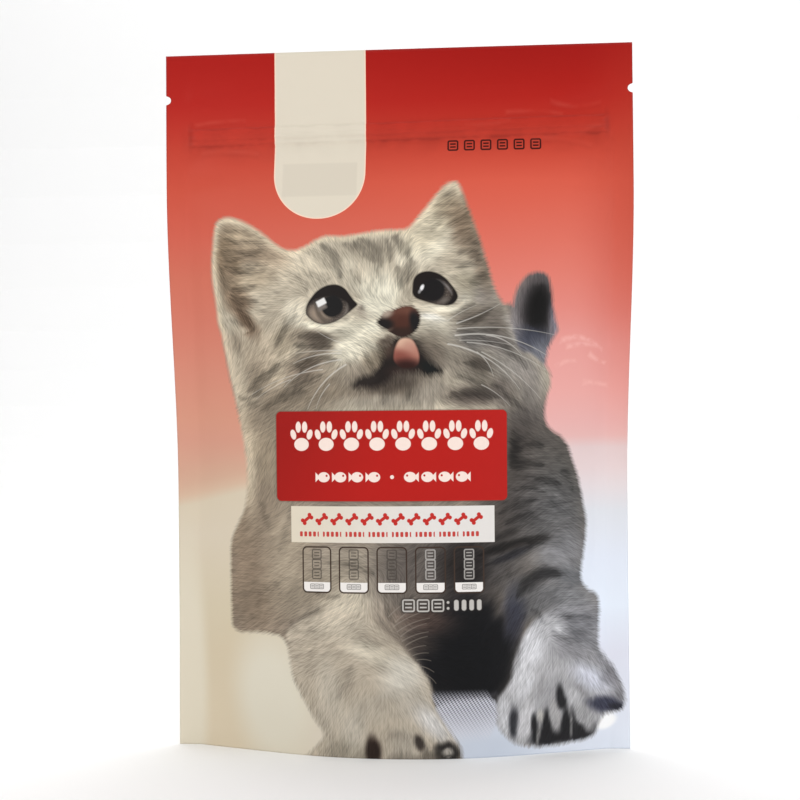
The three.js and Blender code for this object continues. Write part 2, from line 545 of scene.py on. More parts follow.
def oval(u, v, centre, radii, turn=0.0):
    """Nearly the signed distance to an ellipse, turned by an angle in degrees."""
    c, s = math.cos(math.radians(turn)), math.sin(math.radians(turn))
    x, y = u - centre[0], v - centre[1]
    along = x.times_plus(c / radii[0], y * (s / radii[0]))
    across = y.times_plus(c / radii[1], x * (-s / radii[1]))
    return hypot(along, across).times_plus(min(radii), -min(radii))


def repeat(u, first, pitch, count):
    """u folded so that one shape at 0 is drawn count times, pitch apart, from first."""
    index = u.times_plus(1 / pitch, -first / pitch).math("ROUND").most(0.0).least(count - 1.0)
    return u - index.times_plus(pitch, first)


def turned(u, v, centre, degrees):
    """u and v as seen from a centre, turned by an angle."""
    c, s = math.cos(math.radians(degrees)), math.sin(math.radians(degrees))
    x, y = u - centre[0], v - centre[1]
    return x.times_plus(c, y * s), y.times_plus(c, x * -s)


def arc(u, v, start, end, sag, width):
    """The signed distance to a thin arc that bows by sag and tapers to its end."""
    length = math.dist(start, end)
    turn = math.degrees(math.atan2(end[1] - start[1], end[0] - start[0]))
    x, y = turned(u, v, start, turn)
    share = x * (1 / length)
    bow = share * share.times_plus(-4 * sag, 4 * sag)
    away = abs(y - bow) - share.times_plus(-0.35 * width, 0.5 * width)
    return away.most(abs(share - 0.5).times_plus(length, -0.5 * length))


def fade(value, low, high):
    """0 below low, 1 above high, with a smooth step between them."""
    node = value.tree.nodes.new("ShaderNodeMapRange")
    node.interpolation_type = "SMOOTHSTEP"
    value.tree.links.new(value.socket, node.inputs["Value"])
    node.inputs["From Min"].default_value, node.inputs["From Max"].default_value = low, high
    return Field(value.tree, node.outputs["Result"])


def carried(tree, name, output="Color"):
    """The socket of what the mesh carries under a name: a colour or, as "Vector", three numbers."""
    node = tree.nodes.new("ShaderNodeAttribute")
    node.attribute_name = name
    return node.outputs[output]


def carried_fields(tree, name):
    """The three numbers that the mesh carries under a name, as fields."""
    split = tree.nodes.new("ShaderNodeSeparateXYZ")
    tree.links.new(carried(tree, name, "Vector"), split.inputs[0])
    return [Field(tree, split.outputs[axis]) for axis in "XYZ"]


def print_fields(tree):
    """Where on the print a point lies, in millimetres: u and v as fields."""
    return carried_fields(tree, "print_mm")[:2]


def noise_field(tree, place, scale, detail=2.0, dimensions="3D"):
    """Smooth noise at a place, a socket, from 0 to 1."""
    node = tree.nodes.new("ShaderNodeTexNoise")
    node.noise_dimensions = dimensions
    node.inputs["Scale"].default_value = scale
    node.inputs["Detail"].default_value = detail
    tree.links.new(place, node.inputs["Vector"])
    return Field(tree, node.outputs["Fac"])


def film_noise(tree, scale, low, high):
    """Soft patches that wander over the print, from 0 to 1."""
    return fade(noise_field(tree, carried(tree, "print_mm", "Vector"), scale), low, high)


class Ink:
    """A printed surface's colour, built up layer by layer."""

    def __init__(self, tree, base):
        self.tree, self.socket = tree, base

    def lay(self, colour, amount):
        """Prints a colour, an (r, g, b) or a socket, where amount is 1."""
        mix = self.tree.nodes.new("ShaderNodeMix")
        mix.data_type = "RGBA"
        self.tree.links.new(amount.socket, mix.inputs["Factor"])
        self.tree.links.new(self.socket, mix.inputs[6])
        if isinstance(colour, tuple):
            mix.inputs[7].default_value = (*linear(colour), 1.0)
        else:
            self.tree.links.new(colour, mix.inputs[7])
        self.socket = mix.outputs[2]


def linear(colour):
    """An (r, g, b) as a screen shows it, 0 to 255, as linear light."""
    return tuple(float(c) for c in to_linear(np.array(colour, float) / 255))


def to_linear(value):
    """Screen values from 0 to 1 as linear light."""
    return np.where(value <= 0.04045, value / 12.92, ((value + 0.055) / 1.055) ** 2.4)


# ---------------------------------------------------------------- the graphics on the front

RED = (182, 26, 20)
CREAM = (223, 214, 197)
PAPER = (229, 225, 221)
PALE = (248, 228, 218)

# Where the graphics lie. HALF is half a size, and a ROW is its first mark, its pitch and its count.
TAB_CENTRE, TAB_HALF, TAB_ROUND = (-32.7, 297), (19.7, 72), 19.6
PATCH_CENTRE, PATCH_HALF = (-32.6, 241.8), (16, 6.9)
MAKER_ROW, MAKER_HEIGHT, MAKER_HALF = (24.1, 7.0, 6), 254.9, 2.0
LABEL_CENTRE, LABEL_HALF, LABEL_ROUND = (-2.1, 124.0), (48.6, 18.6), 2.0
PAW_ROW, PAW_HEIGHT = (-39.4, 10.75, 8), 131.8
FISH_MIDDLE, FISH_ROW, FISH_HEIGHT = -1.0, (8.0, 7.1, 4), 115.3
BAND_CENTRE, BAND_HALF = (-1.6, 95.8), (42.7, 7.5)
BONE_ROW, BONE_HEIGHT, BONE_TURN = (-37.2, 6.43, 12), 98.0, 38
TICK_ROW, TICK_HEIGHT, TICK_HALF = (-39.8, 1.94, 39), 91.8, (0.62, 1.05)
GAP_ROW, GAP_HALF = (-31.2, 9.7, 7), (0.9, 3.0)
ICON_ROW, ICON_HEIGHT, ICON_HALF, ICON_ROUND = (-33.1, 15.87, 5), 77.1, (6.05, 9.35), 1.8
ICON_TILES, ICON_TILE_HALF = (75.3, 4.1, 3), 1.9
PLATE_TOP, PLATE_HEIGHT, PLATE_TILES, PLATE_TILE_HALF = 72.3, 70.2, (-1.9, 1.9, 3), 0.95
WEIGHT_HEIGHT, WEIGHT_TILES, WEIGHT_TILE_HALF = 62.7, (5.4, 6.0, 3), 2.3
COLON_PLACE, PILL_ROW, PILL_HALF = 21.6, (25.0, 3.15, 4), (0.95, 2.2)


def lay_tab(ink, u, v):
    """The cream tab that hangs from the top edge, round at its end, with a grey patch."""
    tab = box(u, v, TAB_CENTRE, TAB_HALF, TAB_ROUND)
    ink.lay((248, 218, 196), cover(tab))
    ink.lay(CREAM, cover(tab + 0.5, 0.5))
    ink.lay((209, 200, 184), cover(box(u, v, PATCH_CENTRE, PATCH_HALF, 0.4), 0.8) * 0.5)


def tile(x, y, half, line=0.13):
    """A square frame with two bars in it, which stands for a character of print."""
    frame = abs(box(x, y, (0, 0), (half, half), 0.3 * half)) - line * half
    bars = abs(abs(y) - 0.33 * half) - line * half
    return frame.least(bars.most(abs(x) - 0.6 * half))


def lay_marks(ink, u, v):
    """A row of small dark tiles at the upper right, in the place of a line of print."""
    mark = tile(repeat(u, *MAKER_ROW), v - MAKER_HEIGHT, MAKER_HALF, 0.17)
    ink.lay((44, 10, 8), cover(mark, 0.3))


# Each wrinkle near the zipper, inked as a painted highlight with a painted shadow just below it: where
# it starts, where it ends, how far it bows, how thick it is.
PAINTED_WRINKLES = (
    ((47, 268.6), (70, 267.4), 0.8, 0.9), ((66, 272.6), (86, 272), -1.6, 1.0),
    ((30, 263.6), (48, 265), -0.7, 0.7), ((78, 259), (86, 262), 0.8, 0.8),
    ((58, 257), (82, 254), 1.4, 1.0), ((-84, 254.4), (-60, 253.6), 0.9, 0.9),
    ((-87, 266.4), (-66, 268), 0.7, 0.8),
)

# The painted highlights along the rumples of the rubbed patch, in the same way.
RUMPLE_HIGHLIGHTS = (
    ((70.2, 171.4), (88.4, 168), 2.6, 1.8), ((72.8, 168.8), (85.7, 169.2), 0.8, 1.2),
    ((83.2, 165.6), (90, 162), -0.6, 1.4), ((80.6, 153.8), (91.5, 152.8), 0.3, 1.2),
    ((68, 160.6), (76, 163), 0.6, 0.8),
)


def nearest_arc(u, v, arcs):
    """The signed distance to the nearest of several arcs."""
    nearest = arc(u, v, *arcs[0])
    for shape in arcs[1:]:
        nearest = nearest.least(arc(u, v, *shape))
    return nearest


def lay_crease_shade_and_highlights(ink, u, v):
    """Painted shade along the lines where the zipper's edges press through the film and at its crushed
    ends, a painted shadow below the zipper, and a painted highlight on each wrinkle with painted shadow
    just under it.
    """
    patches = film_noise(ink.tree, 0.11, 0.3, 0.7)
    y = v + patches * 0.7 + (u + CHAMBER) * -ZIPPER_SLOPE
    ends = fade(abs(u) * -1.0, -CHAMBER, 2 - CHAMBER)
    # painted shade along the zipper's top edge, its bottom edge and its track
    lines = cover(abs(y - (ZIPPER_TOP + 0.3)) - 0.3, 1.2) * 0.2
    lines = lines + cover(abs(y - (ZIPPER_BOTTOM + 0.4)) - 0.4, 1.4) * 0.26
    lines = lines + cover(abs(y - (ZIPPER_TRACK - 0.6)) - 0.2, 1.0) * 0.12
    on_tab = cover(box(u, v, TAB_CENTRE, TAB_HALF))
    lines = lines * patches.times_plus(0.7, 0.3) * on_tab.times_plus(-0.6, 1.0)
    # painted shade at the zipper's crushed ends, and a painted shadow under its band
    crushed = cover(oval(abs(u), y, (CHAMBER - 0.8, 261), (0.9, 4.0)), 2.2) * 0.3
    shadow = cover(box(u, y, (0, 258), (CHAMBER, 5)), 9.0) * patches * 0.16
    shadow = shadow * on_tab.times_plus(-0.7, 1.0)
    ink.lay((80, 10, 10), (lines * ends + shadow).most(crushed))
    # painted highlights along each wrinkle, and painted shadow just below them
    wrinkle_highlight = nearest_arc(u, v, PAINTED_WRINKLES)
    ink.lay((226, 112, 96), cover(wrinkle_highlight, 2.4) * patches * 0.2)
    ink.lay((90, 12, 10), cover(nearest_arc(u, v + 1.5, PAINTED_WRINKLES), 2.6) * 0.1)


def lay_rumple_highlights(ink, u, v):
    """A rubbed patch on the right, where the film is rumpled and painted highlights lie along its
    rumples.
    """
    streaks = film_noise(ink.tree, 0.3, 0.25, 0.65)
    # painted highlights, broken into streaks by soft patches
    ink.lay((250, 196, 190), cover(nearest_arc(u, v, RUMPLE_HIGHLIGHTS), 2.2) * streaks * 0.6)


def lay_label(ink, u, v):
    """The red label: a row of paw prints over a row of little fish."""
    plate = box(u, v, LABEL_CENTRE, LABEL_HALF, LABEL_ROUND)
    ink.lay((96, 60, 52), cover(plate - 0.25, 0.8) * 0.8)
    inside = cover(plate)
    ink.lay(RED, inside)
    ink.lay((150, 20, 16), inside * fade(v * 0.6 - u, 66, 136) * 0.8)
    x, y = repeat(u, *PAW_ROW), v - PAW_HEIGHT
    pad = oval(x, y, (0, -2.9), (3.2, 2.7))
    outer = oval(abs(x), y, (3.6, 1.2), (1.2, 2.1), -16)
    inner = oval(abs(x), y, (1.4, 4.3), (1.15, 2.3))
    ink.lay(PALE, cover(pad.least(outer).least(inner), 0.2))
    x, y = repeat(abs(u - FISH_MIDDLE), *FISH_ROW), abs(v - FISH_HEIGHT)
    body = oval(x, y, (-0.6, 0), (2.5, 2.1))
    tail = (y - (x - 1.0) * 1.0).most(x - 3.0)
    eye = oval(x, v, (-1.8, FISH_HEIGHT + 0.6), (0.45, 0.45))
    dot = oval(u, v, (FISH_MIDDLE, FISH_HEIGHT), (0.8, 0.8))
    ink.lay(PALE, cover(body.least(tail).most(eye * -1.0).least(dot), 0.2))


def lay_band(ink, u, v):
    """The white band under the label, with a row of red bones and a thin row of ticks."""
    band = cover(box(u, v, BAND_CENTRE, BAND_HALF))
    # the band goes from warm on the left to cool on the right: partly print and partly painted light
    ink.lay((224, 214, 194), band)
    ink.lay(PAPER, band * fade(u, -50, 20))
    x, y = turned(repeat(u, *BONE_ROW), v, (0, BONE_HEIGHT), BONE_TURN)
    knobs = hypot(abs(x) - 1.9, abs(y) - 0.7) - 0.85
    shaft = box(x, y, (0, 0), (2.0, 0.65))
    ink.lay((194, 44, 38), cover(knobs.least(shaft), 0.2))
    tick = box(repeat(u, *TICK_ROW), v, (0, TICK_HEIGHT), TICK_HALF, 0.4)
    gap = box(repeat(u, *GAP_ROW), v, (0, TICK_HEIGHT), GAP_HALF)
    ink.lay((196, 66, 60), cover(tick) * cover(gap * -1.0))


def lay_icons(ink, u, v):
    """Five upright outlines with marks in them, each with a white plate at its foot."""
    x = repeat(u, *ICON_ROW)
    outline = box(x, v, (0, ICON_HEIGHT), ICON_HALF, ICON_ROUND)
    plate = outline.most(v - PLATE_TOP)
    ink.lay((62, 48, 40), cover(abs(outline) - 0.3))
    ink.lay((240, 236, 232), cover(plate + 0.35))
    plate_marks = tile(repeat(x, *PLATE_TILES), v - PLATE_HEIGHT, PLATE_TILE_HALF)
    ink.lay((78, 72, 68), cover(plate_marks, 0.3))
    marks = cover(tile(x, repeat(v, *ICON_TILES), ICON_TILE_HALF), 0.3)
    pale = fade(u, 2, 12)
    ink.lay((72, 66, 60), marks * (pale * -0.8 + 0.8))
    ink.lay((176, 172, 168), marks * pale * 0.9)


def lay_weight(ink, u, v):
    """A short row of pale marks with dark edges, low on the right."""
    y = v - WEIGHT_HEIGHT
    tiles = tile(repeat(u, *WEIGHT_TILES), y, WEIGHT_TILE_HALF)
    pills = box(repeat(u, *PILL_ROW), y, (0, 0), PILL_HALF, 0.9)
    colon = hypot(u - COLON_PLACE, abs(y) - 1.2) - 0.55
    marks = tiles.least(pills).least(colon)
    ink.lay((34, 29, 27), cover(marks - 0.5, 0.8) * 0.7)
    ink.lay((194, 190, 185), cover(marks, 0.3))


SHEEN = 0.14
ROUGHNESS, ROUGHNESS_SPREAD = 0.44, 0.16
GRAIN_SCALE, DENT_SCALE = 900.0, 120.0  # of the noise that varies the sheen and dents the skin
DENT_STRENGTH, DENT_DEPTH = 0.12, 0.0004


def film_shader(tree, ink):
    """The film's finish: a soft sheen over the ink, and a skin that is never quite smooth."""
    shader = tree.nodes["Principled BSDF"]
    place = tree.nodes.new("ShaderNodeTexCoord").outputs["Object"]
    grain = noise_field(tree, place, GRAIN_SCALE, 3.0)
    level = grain.times_plus(ROUGHNESS_SPREAD, ROUGHNESS - ROUGHNESS_SPREAD / 2)
    dents = tree.nodes.new("ShaderNodeBump")
    dents.inputs["Strength"].default_value = DENT_STRENGTH
    dents.inputs["Distance"].default_value = DENT_DEPTH
    tree.links.new(noise_field(tree, place, DENT_SCALE).socket, dents.inputs["Height"])
    shader.inputs["Specular IOR Level"].default_value = SHEEN
    tree.links.new(ink.socket, shader.inputs["Base Color"])
    tree.links.new(level.socket, shader.inputs["Roughness"])
    tree.links.new(dents.outputs["Normal"], shader.inputs["Normal"])


def new_material(name):
    """An empty Principled material and its node tree."""
    material = bpy.data.materials.new(name)
    material.use_nodes = True
    return material, material.node_tree


HAIR_LENGTH, HAIR_WIDTH = 5.4, 0.55
COMBS = 6  # as many directions, evenly round half a turn
COAT_FRINGE, LIP_FRINGE, NOSE_FRINGE = 0.18, 0.2, 0.14  # how far hairs cross an edge


def hair_noise(tree, level, steep):
    """Fine hairs that lie along the fur, about -2 to 2: fixed combs, blended by direction."""
    total = None
    for index in range(COMBS):
        turn = math.radians(180 / COMBS * index)
        comb = tree.nodes.new("ShaderNodeMapping")
        comb.vector_type = "TEXTURE"
        comb.inputs["Location"].default_value = (31.0 * index, 17.0, 0)
        comb.inputs["Rotation"].default_value = (0, 0, turn)
        comb.inputs["Scale"].default_value = (HAIR_LENGTH, HAIR_WIDTH, 1)
        tree.links.new(carried(tree, "print_mm", "Vector"), comb.inputs["Vector"])
        noise = noise_field(tree, comb.outputs["Vector"], 1.0, 1.0, "2D")
        along = level.times_plus(math.cos(2 * turn), steep * math.sin(2 * turn), clamp=True)
        part = noise.times_plus(8.0, -4.0) * (along * along)
        total = total + part if total else part
    return total


def lay_kitten(ink, tree):
    """The kitten: painted coat, combed with hairs, and cut out crisply."""
    edge, lids, lips = carried_fields(tree, "edges")
    nose, tongue, fineness = carried_fields(tree, "small_edges")
    level, steep, tone = carried_fields(tree, "fur")
    hair = hair_noise(tree, level, steep)
    reach = hair.times_plus(0.1, tone)
    dark, light = fade(reach * -1.0, -0.15, 1.0), fade(reach, -0.15, 1.0)
    shade = light.times_plus(0.15, dark.times_plus(-0.3, 1.0))
    factor = (hair * fineness).times_plus(0.028, shade).math("POWER", 2.2)
    coat = tree.nodes.new("ShaderNodeVectorMath")
    coat.operation = "SCALE"
    tree.links.new(carried(tree, "kitten"), coat.inputs[0])
    tree.links.new(factor.socket, coat.inputs["Scale"])
    fringe = hair * fineness.least(1.0)
    ink.lay(coat.outputs["Vector"], cover(fringe.times_plus(COAT_FRINGE, edge), 2.0))
    ink.lay(carried(tree, "features"), cover(hair.times_plus(LIP_FRINGE, lips) - 0.5, 3.0))
    ink.lay(carried(tree, "features"), cover(hair.times_plus(NOSE_FRINGE, nose), 1.2))
    ink.lay(carried(tree, "tongue"), cover(tongue, 0.9))
    ink.lay((30, 25, 24), cover(lids, 0.7))
    return cover(lids + 0.3, 0.7)


def lay_iris(ink, u, v, inside, centre, radii):
    """An iris with paler flecks, soft where it goes under the lid."""
    iris = cover(oval(u, v, centre, radii), 1.6) * inside
    flecks = film_noise(ink.tree, 1.4, 0.45, 0.75)
    ink.lay((76, 68, 63), iris)
    ink.lay((132, 120, 108), iris * flecks * 0.5)
    return iris


def lay_left_eye(ink, u, v, inside):
    """Iris, pupil with a pale ring, and a window's glint."""
    iris = lay_iris(ink, u, v, inside, (-27.9, 184.3), (8.8, 5.9))
    ink.lay((158, 142, 126), cover(oval(u, v, (-32.0, 183.0), (4.6, 2.9), -24), 3.0) * iris * 0.9)
    ring = abs(oval(u, v, (-26.1, 186.2), (6.4, 6.4)))
    ink.lay((138, 131, 124), cover(ring - 0.4, 1.0) * fade(u, -28, -21) * iris * 0.6)
    ink.lay((36, 31, 30), cover(ring - 1.1, 1.2) * (fade(u, -31, -24) * -1.0 + 1.0) * iris * 0.6)
    ink.lay((26, 25, 26), cover(oval(u, v, (-26.2, 186.4), (4.7, 4.6)), 1.0))
    x, y = turned(u, v, (-30.9, 188.1), 27)
    ink.lay((122, 114, 108), cover(box(x, y, (-0.6, -1.5), (1.9, 1.5), 0.4), 1.2) * iris)
    ink.lay((234, 233, 231), cover(box(x, y, (0, 0), (2.0, 1.3), 0.4), 0.6))


def lay_right_eye(ink, u, v, inside):
    """Iris with a streak, pupil and two small glints."""
    iris = lay_iris(ink, u, v, inside * fade(u, 12, 18), (16.4, 191.2), (7.4, 5.6))
    streak = arc(u, v, (17.4, 196.8), (24.0, 190.8), 1.0, 1.2)
    ink.lay((142, 137, 136), cover(streak, 1.0) * iris * 0.8)
    ink.lay((104, 97, 91), cover(oval(u, v, (20.9, 188.0), (2.0, 1.2), 10), 1.8) * iris)
    ink.lay((26, 24, 25), cover(oval(u, v, (16.0, 192.6), (5.2, 5.0)), 1.4) * inside)
    ink.lay((236, 236, 238), cover(oval(u, v, (11.5, 193.6), (0.7, 1.3), -24), 0.5))
    ink.lay((150, 148, 150), cover(oval(u, v, (10.5, 192.0), (0.5, 0.8), -24), 0.6))


# Each whisker: where it starts, where it ends, how far it bows, how thick it is.
WHISKERS = (
    ((25, 173.4), (63.4, 165.2), 3.6, 0.8), ((26, 176.2), (67, 173.6), 1.6, 0.5),
    ((38, 173.6), (53, 165), 1.8, 0.7), ((22, 170), (52, 151), 3.6, 0.8),
    ((34, 166.6), (41, 156.4), 1.2, 0.6), ((36, 166.6), (61, 147), 1.6, 0.5),
    ((30, 170.6), (63, 159), 2.4, 0.5), ((25.6, 178.4), (44, 186.6), -0.6, 0.6),
    ((22, 179.6), (34, 186), 0.4, 0.4), ((27, 171.4), (50, 169), 0.8, 0.4),
    ((36, 153), (48, 144), 0.8, 0.4), ((-22, 167.8), (-42, 167), -0.4, 0.5),
    ((-22, 166.6), (-43, 162.6), -1.4, 0.7), ((-22, 164), (-47, 153), -2.4, 0.7),
    ((-20, 162), (-36.6, 143.6), -2.2, 0.8), ((-27, 154), (-33, 143.6), -0.8, 0.5),
    ((-30, 160), (-62, 150), -1.8, 0.5), ((-44, 156), (-60, 148), -0.8, 0.4),
    ((-22, 171), (-33, 176.4), 0.6, 0.4),
)


# Long hairs of the belly and the left arm, in the same way.
STRAY_HAIRS = (
    ((-1, 54), (13, 60.6), 0.8, 0.4), ((0.6, 52), (14, 57.6), 0.9, 0.4),
    ((0, 56), (11, 63.4), 0.6, 0.4), ((2, 50), (12.6, 55.4), 0.8, 0.4),
    ((2.4, 48), (13.4, 52), 0.7, 0.4), ((4, 46.4), (13, 50.2), 0.5, 0.4),
    ((5, 44.4), (12.4, 46.4), 0.5, 0.3), ((7, 42.4), (13.4, 43.4), 0.4, 0.3),
    ((8.6, 40.6), (14.4, 40.2), 0.4, 0.3), ((10.6, 38), (15.6, 35.6), 0.3, 0.3),
    ((12.4, 34.6), (16.4, 31), 0.3, 0.3), ((-3, 58), (8, 66), 0.7, 0.4),
)


def lay_whiskers(ink, u, v):
    """The pale whiskers, and the stray hairs over the belly's dark."""
    whiskers = nearest_arc(u, v, WHISKERS)
    ink.lay((218, 214, 206), cover(whiskers + 0.06, 0.4) * 0.62)
    strays = nearest_arc(u, v, STRAY_HAIRS)
    ink.lay((166, 156, 144), cover(strays + 0.04, 0.5) * 0.5)


STITCH_UP, STITCH_ACROSS = 1.35, 1.5  # the cloth's stitches repeat so often


def lay_floor_cloth(ink, u, v):
    """The cloth between the paws: white stitches on dark, closing up towards the front."""
    rows = (v * (math.tau / STITCH_UP)).math("SINE")
    columns = u.times_plus(math.tau / STITCH_ACROSS, v * -2.0).math("SINE")
    stitches = (rows * columns).times_plus(1.1, 0.5, clamp=True)
    right_of_arm = fade(u + v * 0.49, 26.2, 28.0)
    left_of_paw = fade(abs(v - 17) * 0.45 + u, 43.4, 41.4)
    cloth = right_of_arm * left_of_paw * fade(v, 28.6, 23.0) * fade(v, 5.0, 11.0)
    gaps = stitches.times_plus(-1.0, 1.0)
    ink.lay((58, 58, 68), gaps * cloth * fade(v, 9.0, 25.0).times_plus(0.85, 0.05))
    ink.lay((214, 215, 224), stitches * cloth * 0.8)


def front_material():
    """The front: the kitten on its backdrop, and the graphics over both."""
    material, tree = new_material("printed_front")
    u, v = print_fields(tree)
    ink = Ink(tree, carried(tree, "backdrop"))
    lay_rumple_highlights(ink, u, v)
    eyes = lay_kitten(ink, tree)
    lay_floor_cloth(ink, u, v)
    lay_left_eye(ink, u, v, eyes)
    lay_right_eye(ink, u, v, eyes)
    lay_whiskers(ink, u, v)
    lay_tab(ink, u, v)
    lay_marks(ink, u, v)
    lay_label(ink, u, v)
    lay_band(ink, u, v)
    lay_icons(ink, u, v)
    lay_weight(ink, u, v)
    lay_crease_shade_and_highlights(ink, u, v)
    film_shader(tree, ink)
    return material


BACK_PANEL, BACK_HEADING = ((0, 128), (68, 82), 5), ((0, 196), (58, 7), 3)  # centre, half, round
BAR_ROW, BAR_SHIFT, BAR_HALF = (60, 9.5, 13), -6, (50, 1.4)


def back_material():
    """The back: the same ground, with a blank panel and rows of plain bars."""
    material, tree = new_material("printed_back")
    u, v = print_fields(tree)
    ink = Ink(tree, carried(tree, "backdrop"))
    ink.lay(CREAM, cover(box(u, v, *BACK_PANEL)))
    ink.lay(RED, cover(box(u, v, *BACK_HEADING)))
    bars = box(u, repeat(v, *BAR_ROW), (BAR_SHIFT, 0), BAR_HALF, BAR_HALF[1])
    ink.lay((150, 140, 130), cover(bars.most(abs(v - 117) - 62)))
    lay_crease_shade_and_highlights(ink, u, v)
    film_shader(tree, ink)
    return material


def gusset_material():
    """The gusset: the backdrop's colour, unprinted."""
    material, tree = new_material("gusset_film")
    film_shader(tree, Ink(tree, carried(tree, "backdrop")))
    return material


# ---------------------------------------------------------------- brushes


def rgb(text):
    """A colour written as six hex digits."""
    return np.array([int(text[k:k + 2], 16) for k in (0, 2, 4)], float)


def curve(points, closed=False, steps=6):
    """A smooth curve through points, as a fine line of short straight pieces."""
    p = np.array(points, float)
    if closed:
        p = np.vstack([p[-1], p, p[0], p[1]])
    else:
        p = np.vstack([2 * p[0] - p[1], p, 2 * p[-1] - p[-2]])
    t = np.linspace(0, 1, steps, endpoint=False)[:, None]
    pieces = []
    for a, b, c, d in zip(p, p[1:], p[2:], p[3:]):
        bend = (2 * a - 5 * b + 4 * c - d) * t**2 + (3 * b - a - 3 * c + d) * t**3
        pieces.append(b + 0.5 * ((c - a) * t + bend))
    pieces.append(p[-2:-1])
    return np.vstack(pieces)


def line_distance(u, v, line, reach):
    """The distance to a line of straight pieces, up to reach, and how far along it is nearest."""
    distance, along = np.full(u.shape, float(reach)), np.zeros(u.shape)
    low, high = line.min(0) - reach, line.max(0) + reach
    near = (u > low[0]) & (u < high[0]) & (v > low[1]) & (v < high[1])
    x, y = u[near], v[near]
    best, place = distance[near], along[near]
    for index, (start, end) in enumerate(zip(line, line[1:])):
        edge = end - start
        t = ((x - start[0]) * edge[0] + (y - start[1]) * edge[1]) / (edge @ edge + 1e-9)
        t = np.clip(t, 0, 1)
        gap = np.hypot(x - start[0] - t * edge[0], y - start[1] - t * edge[1])
        place = np.where(gap < best, index + t, place)
        best = np.minimum(best, gap)
    distance[near], along[near] = best, place / (len(line) - 1)
    return distance, along


def outline_distance(u, v, points, reach=14):
    """The signed distance to a smooth closed outline through points: negative inside."""
    line = curve(points, closed=True)
    distance, _ = line_distance(u, v, line, reach)
    inside = np.zeros(u.shape, bool)
    for (x0, y0), (x1, y1) in zip(line, line[1:]):
        if y0 != y1:
            crossed = (v < y0) != (v < y1)
            inside ^= crossed & (u < x0 + (v - y0) * (x1 - x0) / (y1 - y0))
    return np.where(inside, -distance, distance)


class Canvas:
    """Colours at points, painted over one another with soft brushes.

    tone is how strongly hairs darken (towards -1) or lighten (towards 1) what is painted there.
    """

    def __init__(self, u, v, colour):
        self.u, self.v = u, v
        self.colour = np.broadcast_to(rgb(colour), (*u.shape, 3)).copy()
        self.tone = np.zeros(u.shape)

    def lay(self, colour, amount):
        """Blends a colour in: wholly where amount is 1."""
        self.colour += (rgb(colour) - self.colour) * amount[..., None]

    def blob(self, colour, centre, radii, turn=0, strength=1.0, soft=0.7):
        """A soft-edged ellipse."""
        c, s = math.cos(math.radians(turn)), math.sin(math.radians(turn))
        x, y = self.u - centre[0], self.v - centre[1]
        reach = np.hypot((x * c + y * s) / radii[0], (y * c - x * s) / radii[1])
        self.lay(colour, strength * (1 - smoothstep(reach, 1 - soft, 1 + soft)))

    def blobs(self, *rows, within=1.0):
        """Soft-edged ellipses: rows of colour, centre, radii, turn, strength and perhaps softness."""
        for colour, centre, radii, turn, strength, *soft in rows:
            self.blob(colour, centre, radii, turn, strength * within, *soft)

    def fill(self, colour, distance, soft=1.0, strength=1.0):
        """Everything inside an outline."""
        amount = strength * (1 - smoothstep(distance, -soft, soft))
        self.lay(colour, amount)
        self.tone = self.tone * (1 - amount)

    def strokes(self, tone, *rows, wider=1.0, fainter=1.0):
        """Dark (-1) or light (1) hairs: rows of a width, a strength and the points of a curve."""
        for width, strength, *points in rows:
            self.stroke(tone, wider * width, fainter * strength, points)

    def stroke(self, tone, width, strength, points):
        """Hairs along a smooth curve, fewer towards its ends and sides."""
        distance, along = line_distance(self.u, self.v, curve(points, steps=4), width * 2 + 1)
        taper = width / 2 * (4 * along * (1 - along) + 0.15) ** 0.5
        amount = strength * (1 - smoothstep(distance / np.maximum(taper, 0.1), 0, 2))
        self.tone += (tone - self.tone) * amount


# ---------------------------------------------------------------- fur

# Which way the fur lies: (u, v, degrees from level).
FUR = (
    (-70, 222, -25), (-62, 213, -14), (-70, 205, -8), (-60, 200, 4), (-60, 192, 2), (-64, 182, -58),
    (-77, 200, -80), (-73, 165, 82), (-52, 190, -4), (-48, 204, -20), (-36, 204, -48), (-30, 210, -62),
    (-20, 209, -68), (-9, 210, -82), (0, 212, 75), (7, 206, 62), (-4, 196, 88), (-28, 199, -55),
    (-44, 182, 50), (-50, 174, 62), (-60, 170, 55), (-58, 158, 36), (-66, 148, 40), (-45, 155, 36),
    (-38, 162, 24), (-34, 172, 8), (-36, 150, 42), (-24, 154, 60), (-14, 172, -8), (-12, 162, -62),
    (-6, 168, -50), (-8, 182, -20), (15, 178, -4), (22, 172, -20), (22, 160, -70), (5, 150, 85),
    (14, 213, -12), (20, 226, 22), (30, 222, 20), (25, 212, 6), (33, 205, 38), (28, 198, -30),
    (34, 188, -10), (34, 181, 26), (42, 172, -12), (40, 162, -38), (46, 152, -52), (32, 150, -18),
    (56, 156, -55), (60, 146, -66), (54, 134, -30), (60, 120, 2), (70, 108, -18), (50, 104, 24),
    (62, 92, 20), (46, 84, 32), (74, 82, -35), (62, 72, 14), (52, 66, 55), (60, 58, 48), (76, 58, 12),
    (70, 48, -28), (84, 50, -15), (56, 44, 66), (86, 34, -50), (62, 34, 78), (74, 28, 65),
    (58, 185, 88), (-56, 110, 70), (-62, 96, 20), (-50, 92, 30), (-66, 74, 6), (-52, 70, 18),
    (-44, 60, 28), (-34, 64, 34), (-22, 60, 40), (-30, 84, 4), (-12, 84, -12), (-6, 66, -78),
    (2, 52, -62), (12, 58, 22), (10, 44, -12), (20, 76, 40), (34, 78, 30), (-36, 46, 20), (-24, 40, 30),
    (-8, 44, -22), (2, 34, -40), (-30, 24, 75), (-12, 22, 70), (8, 22, -60), (-20, 6, 80), (0, 6, 85),
)


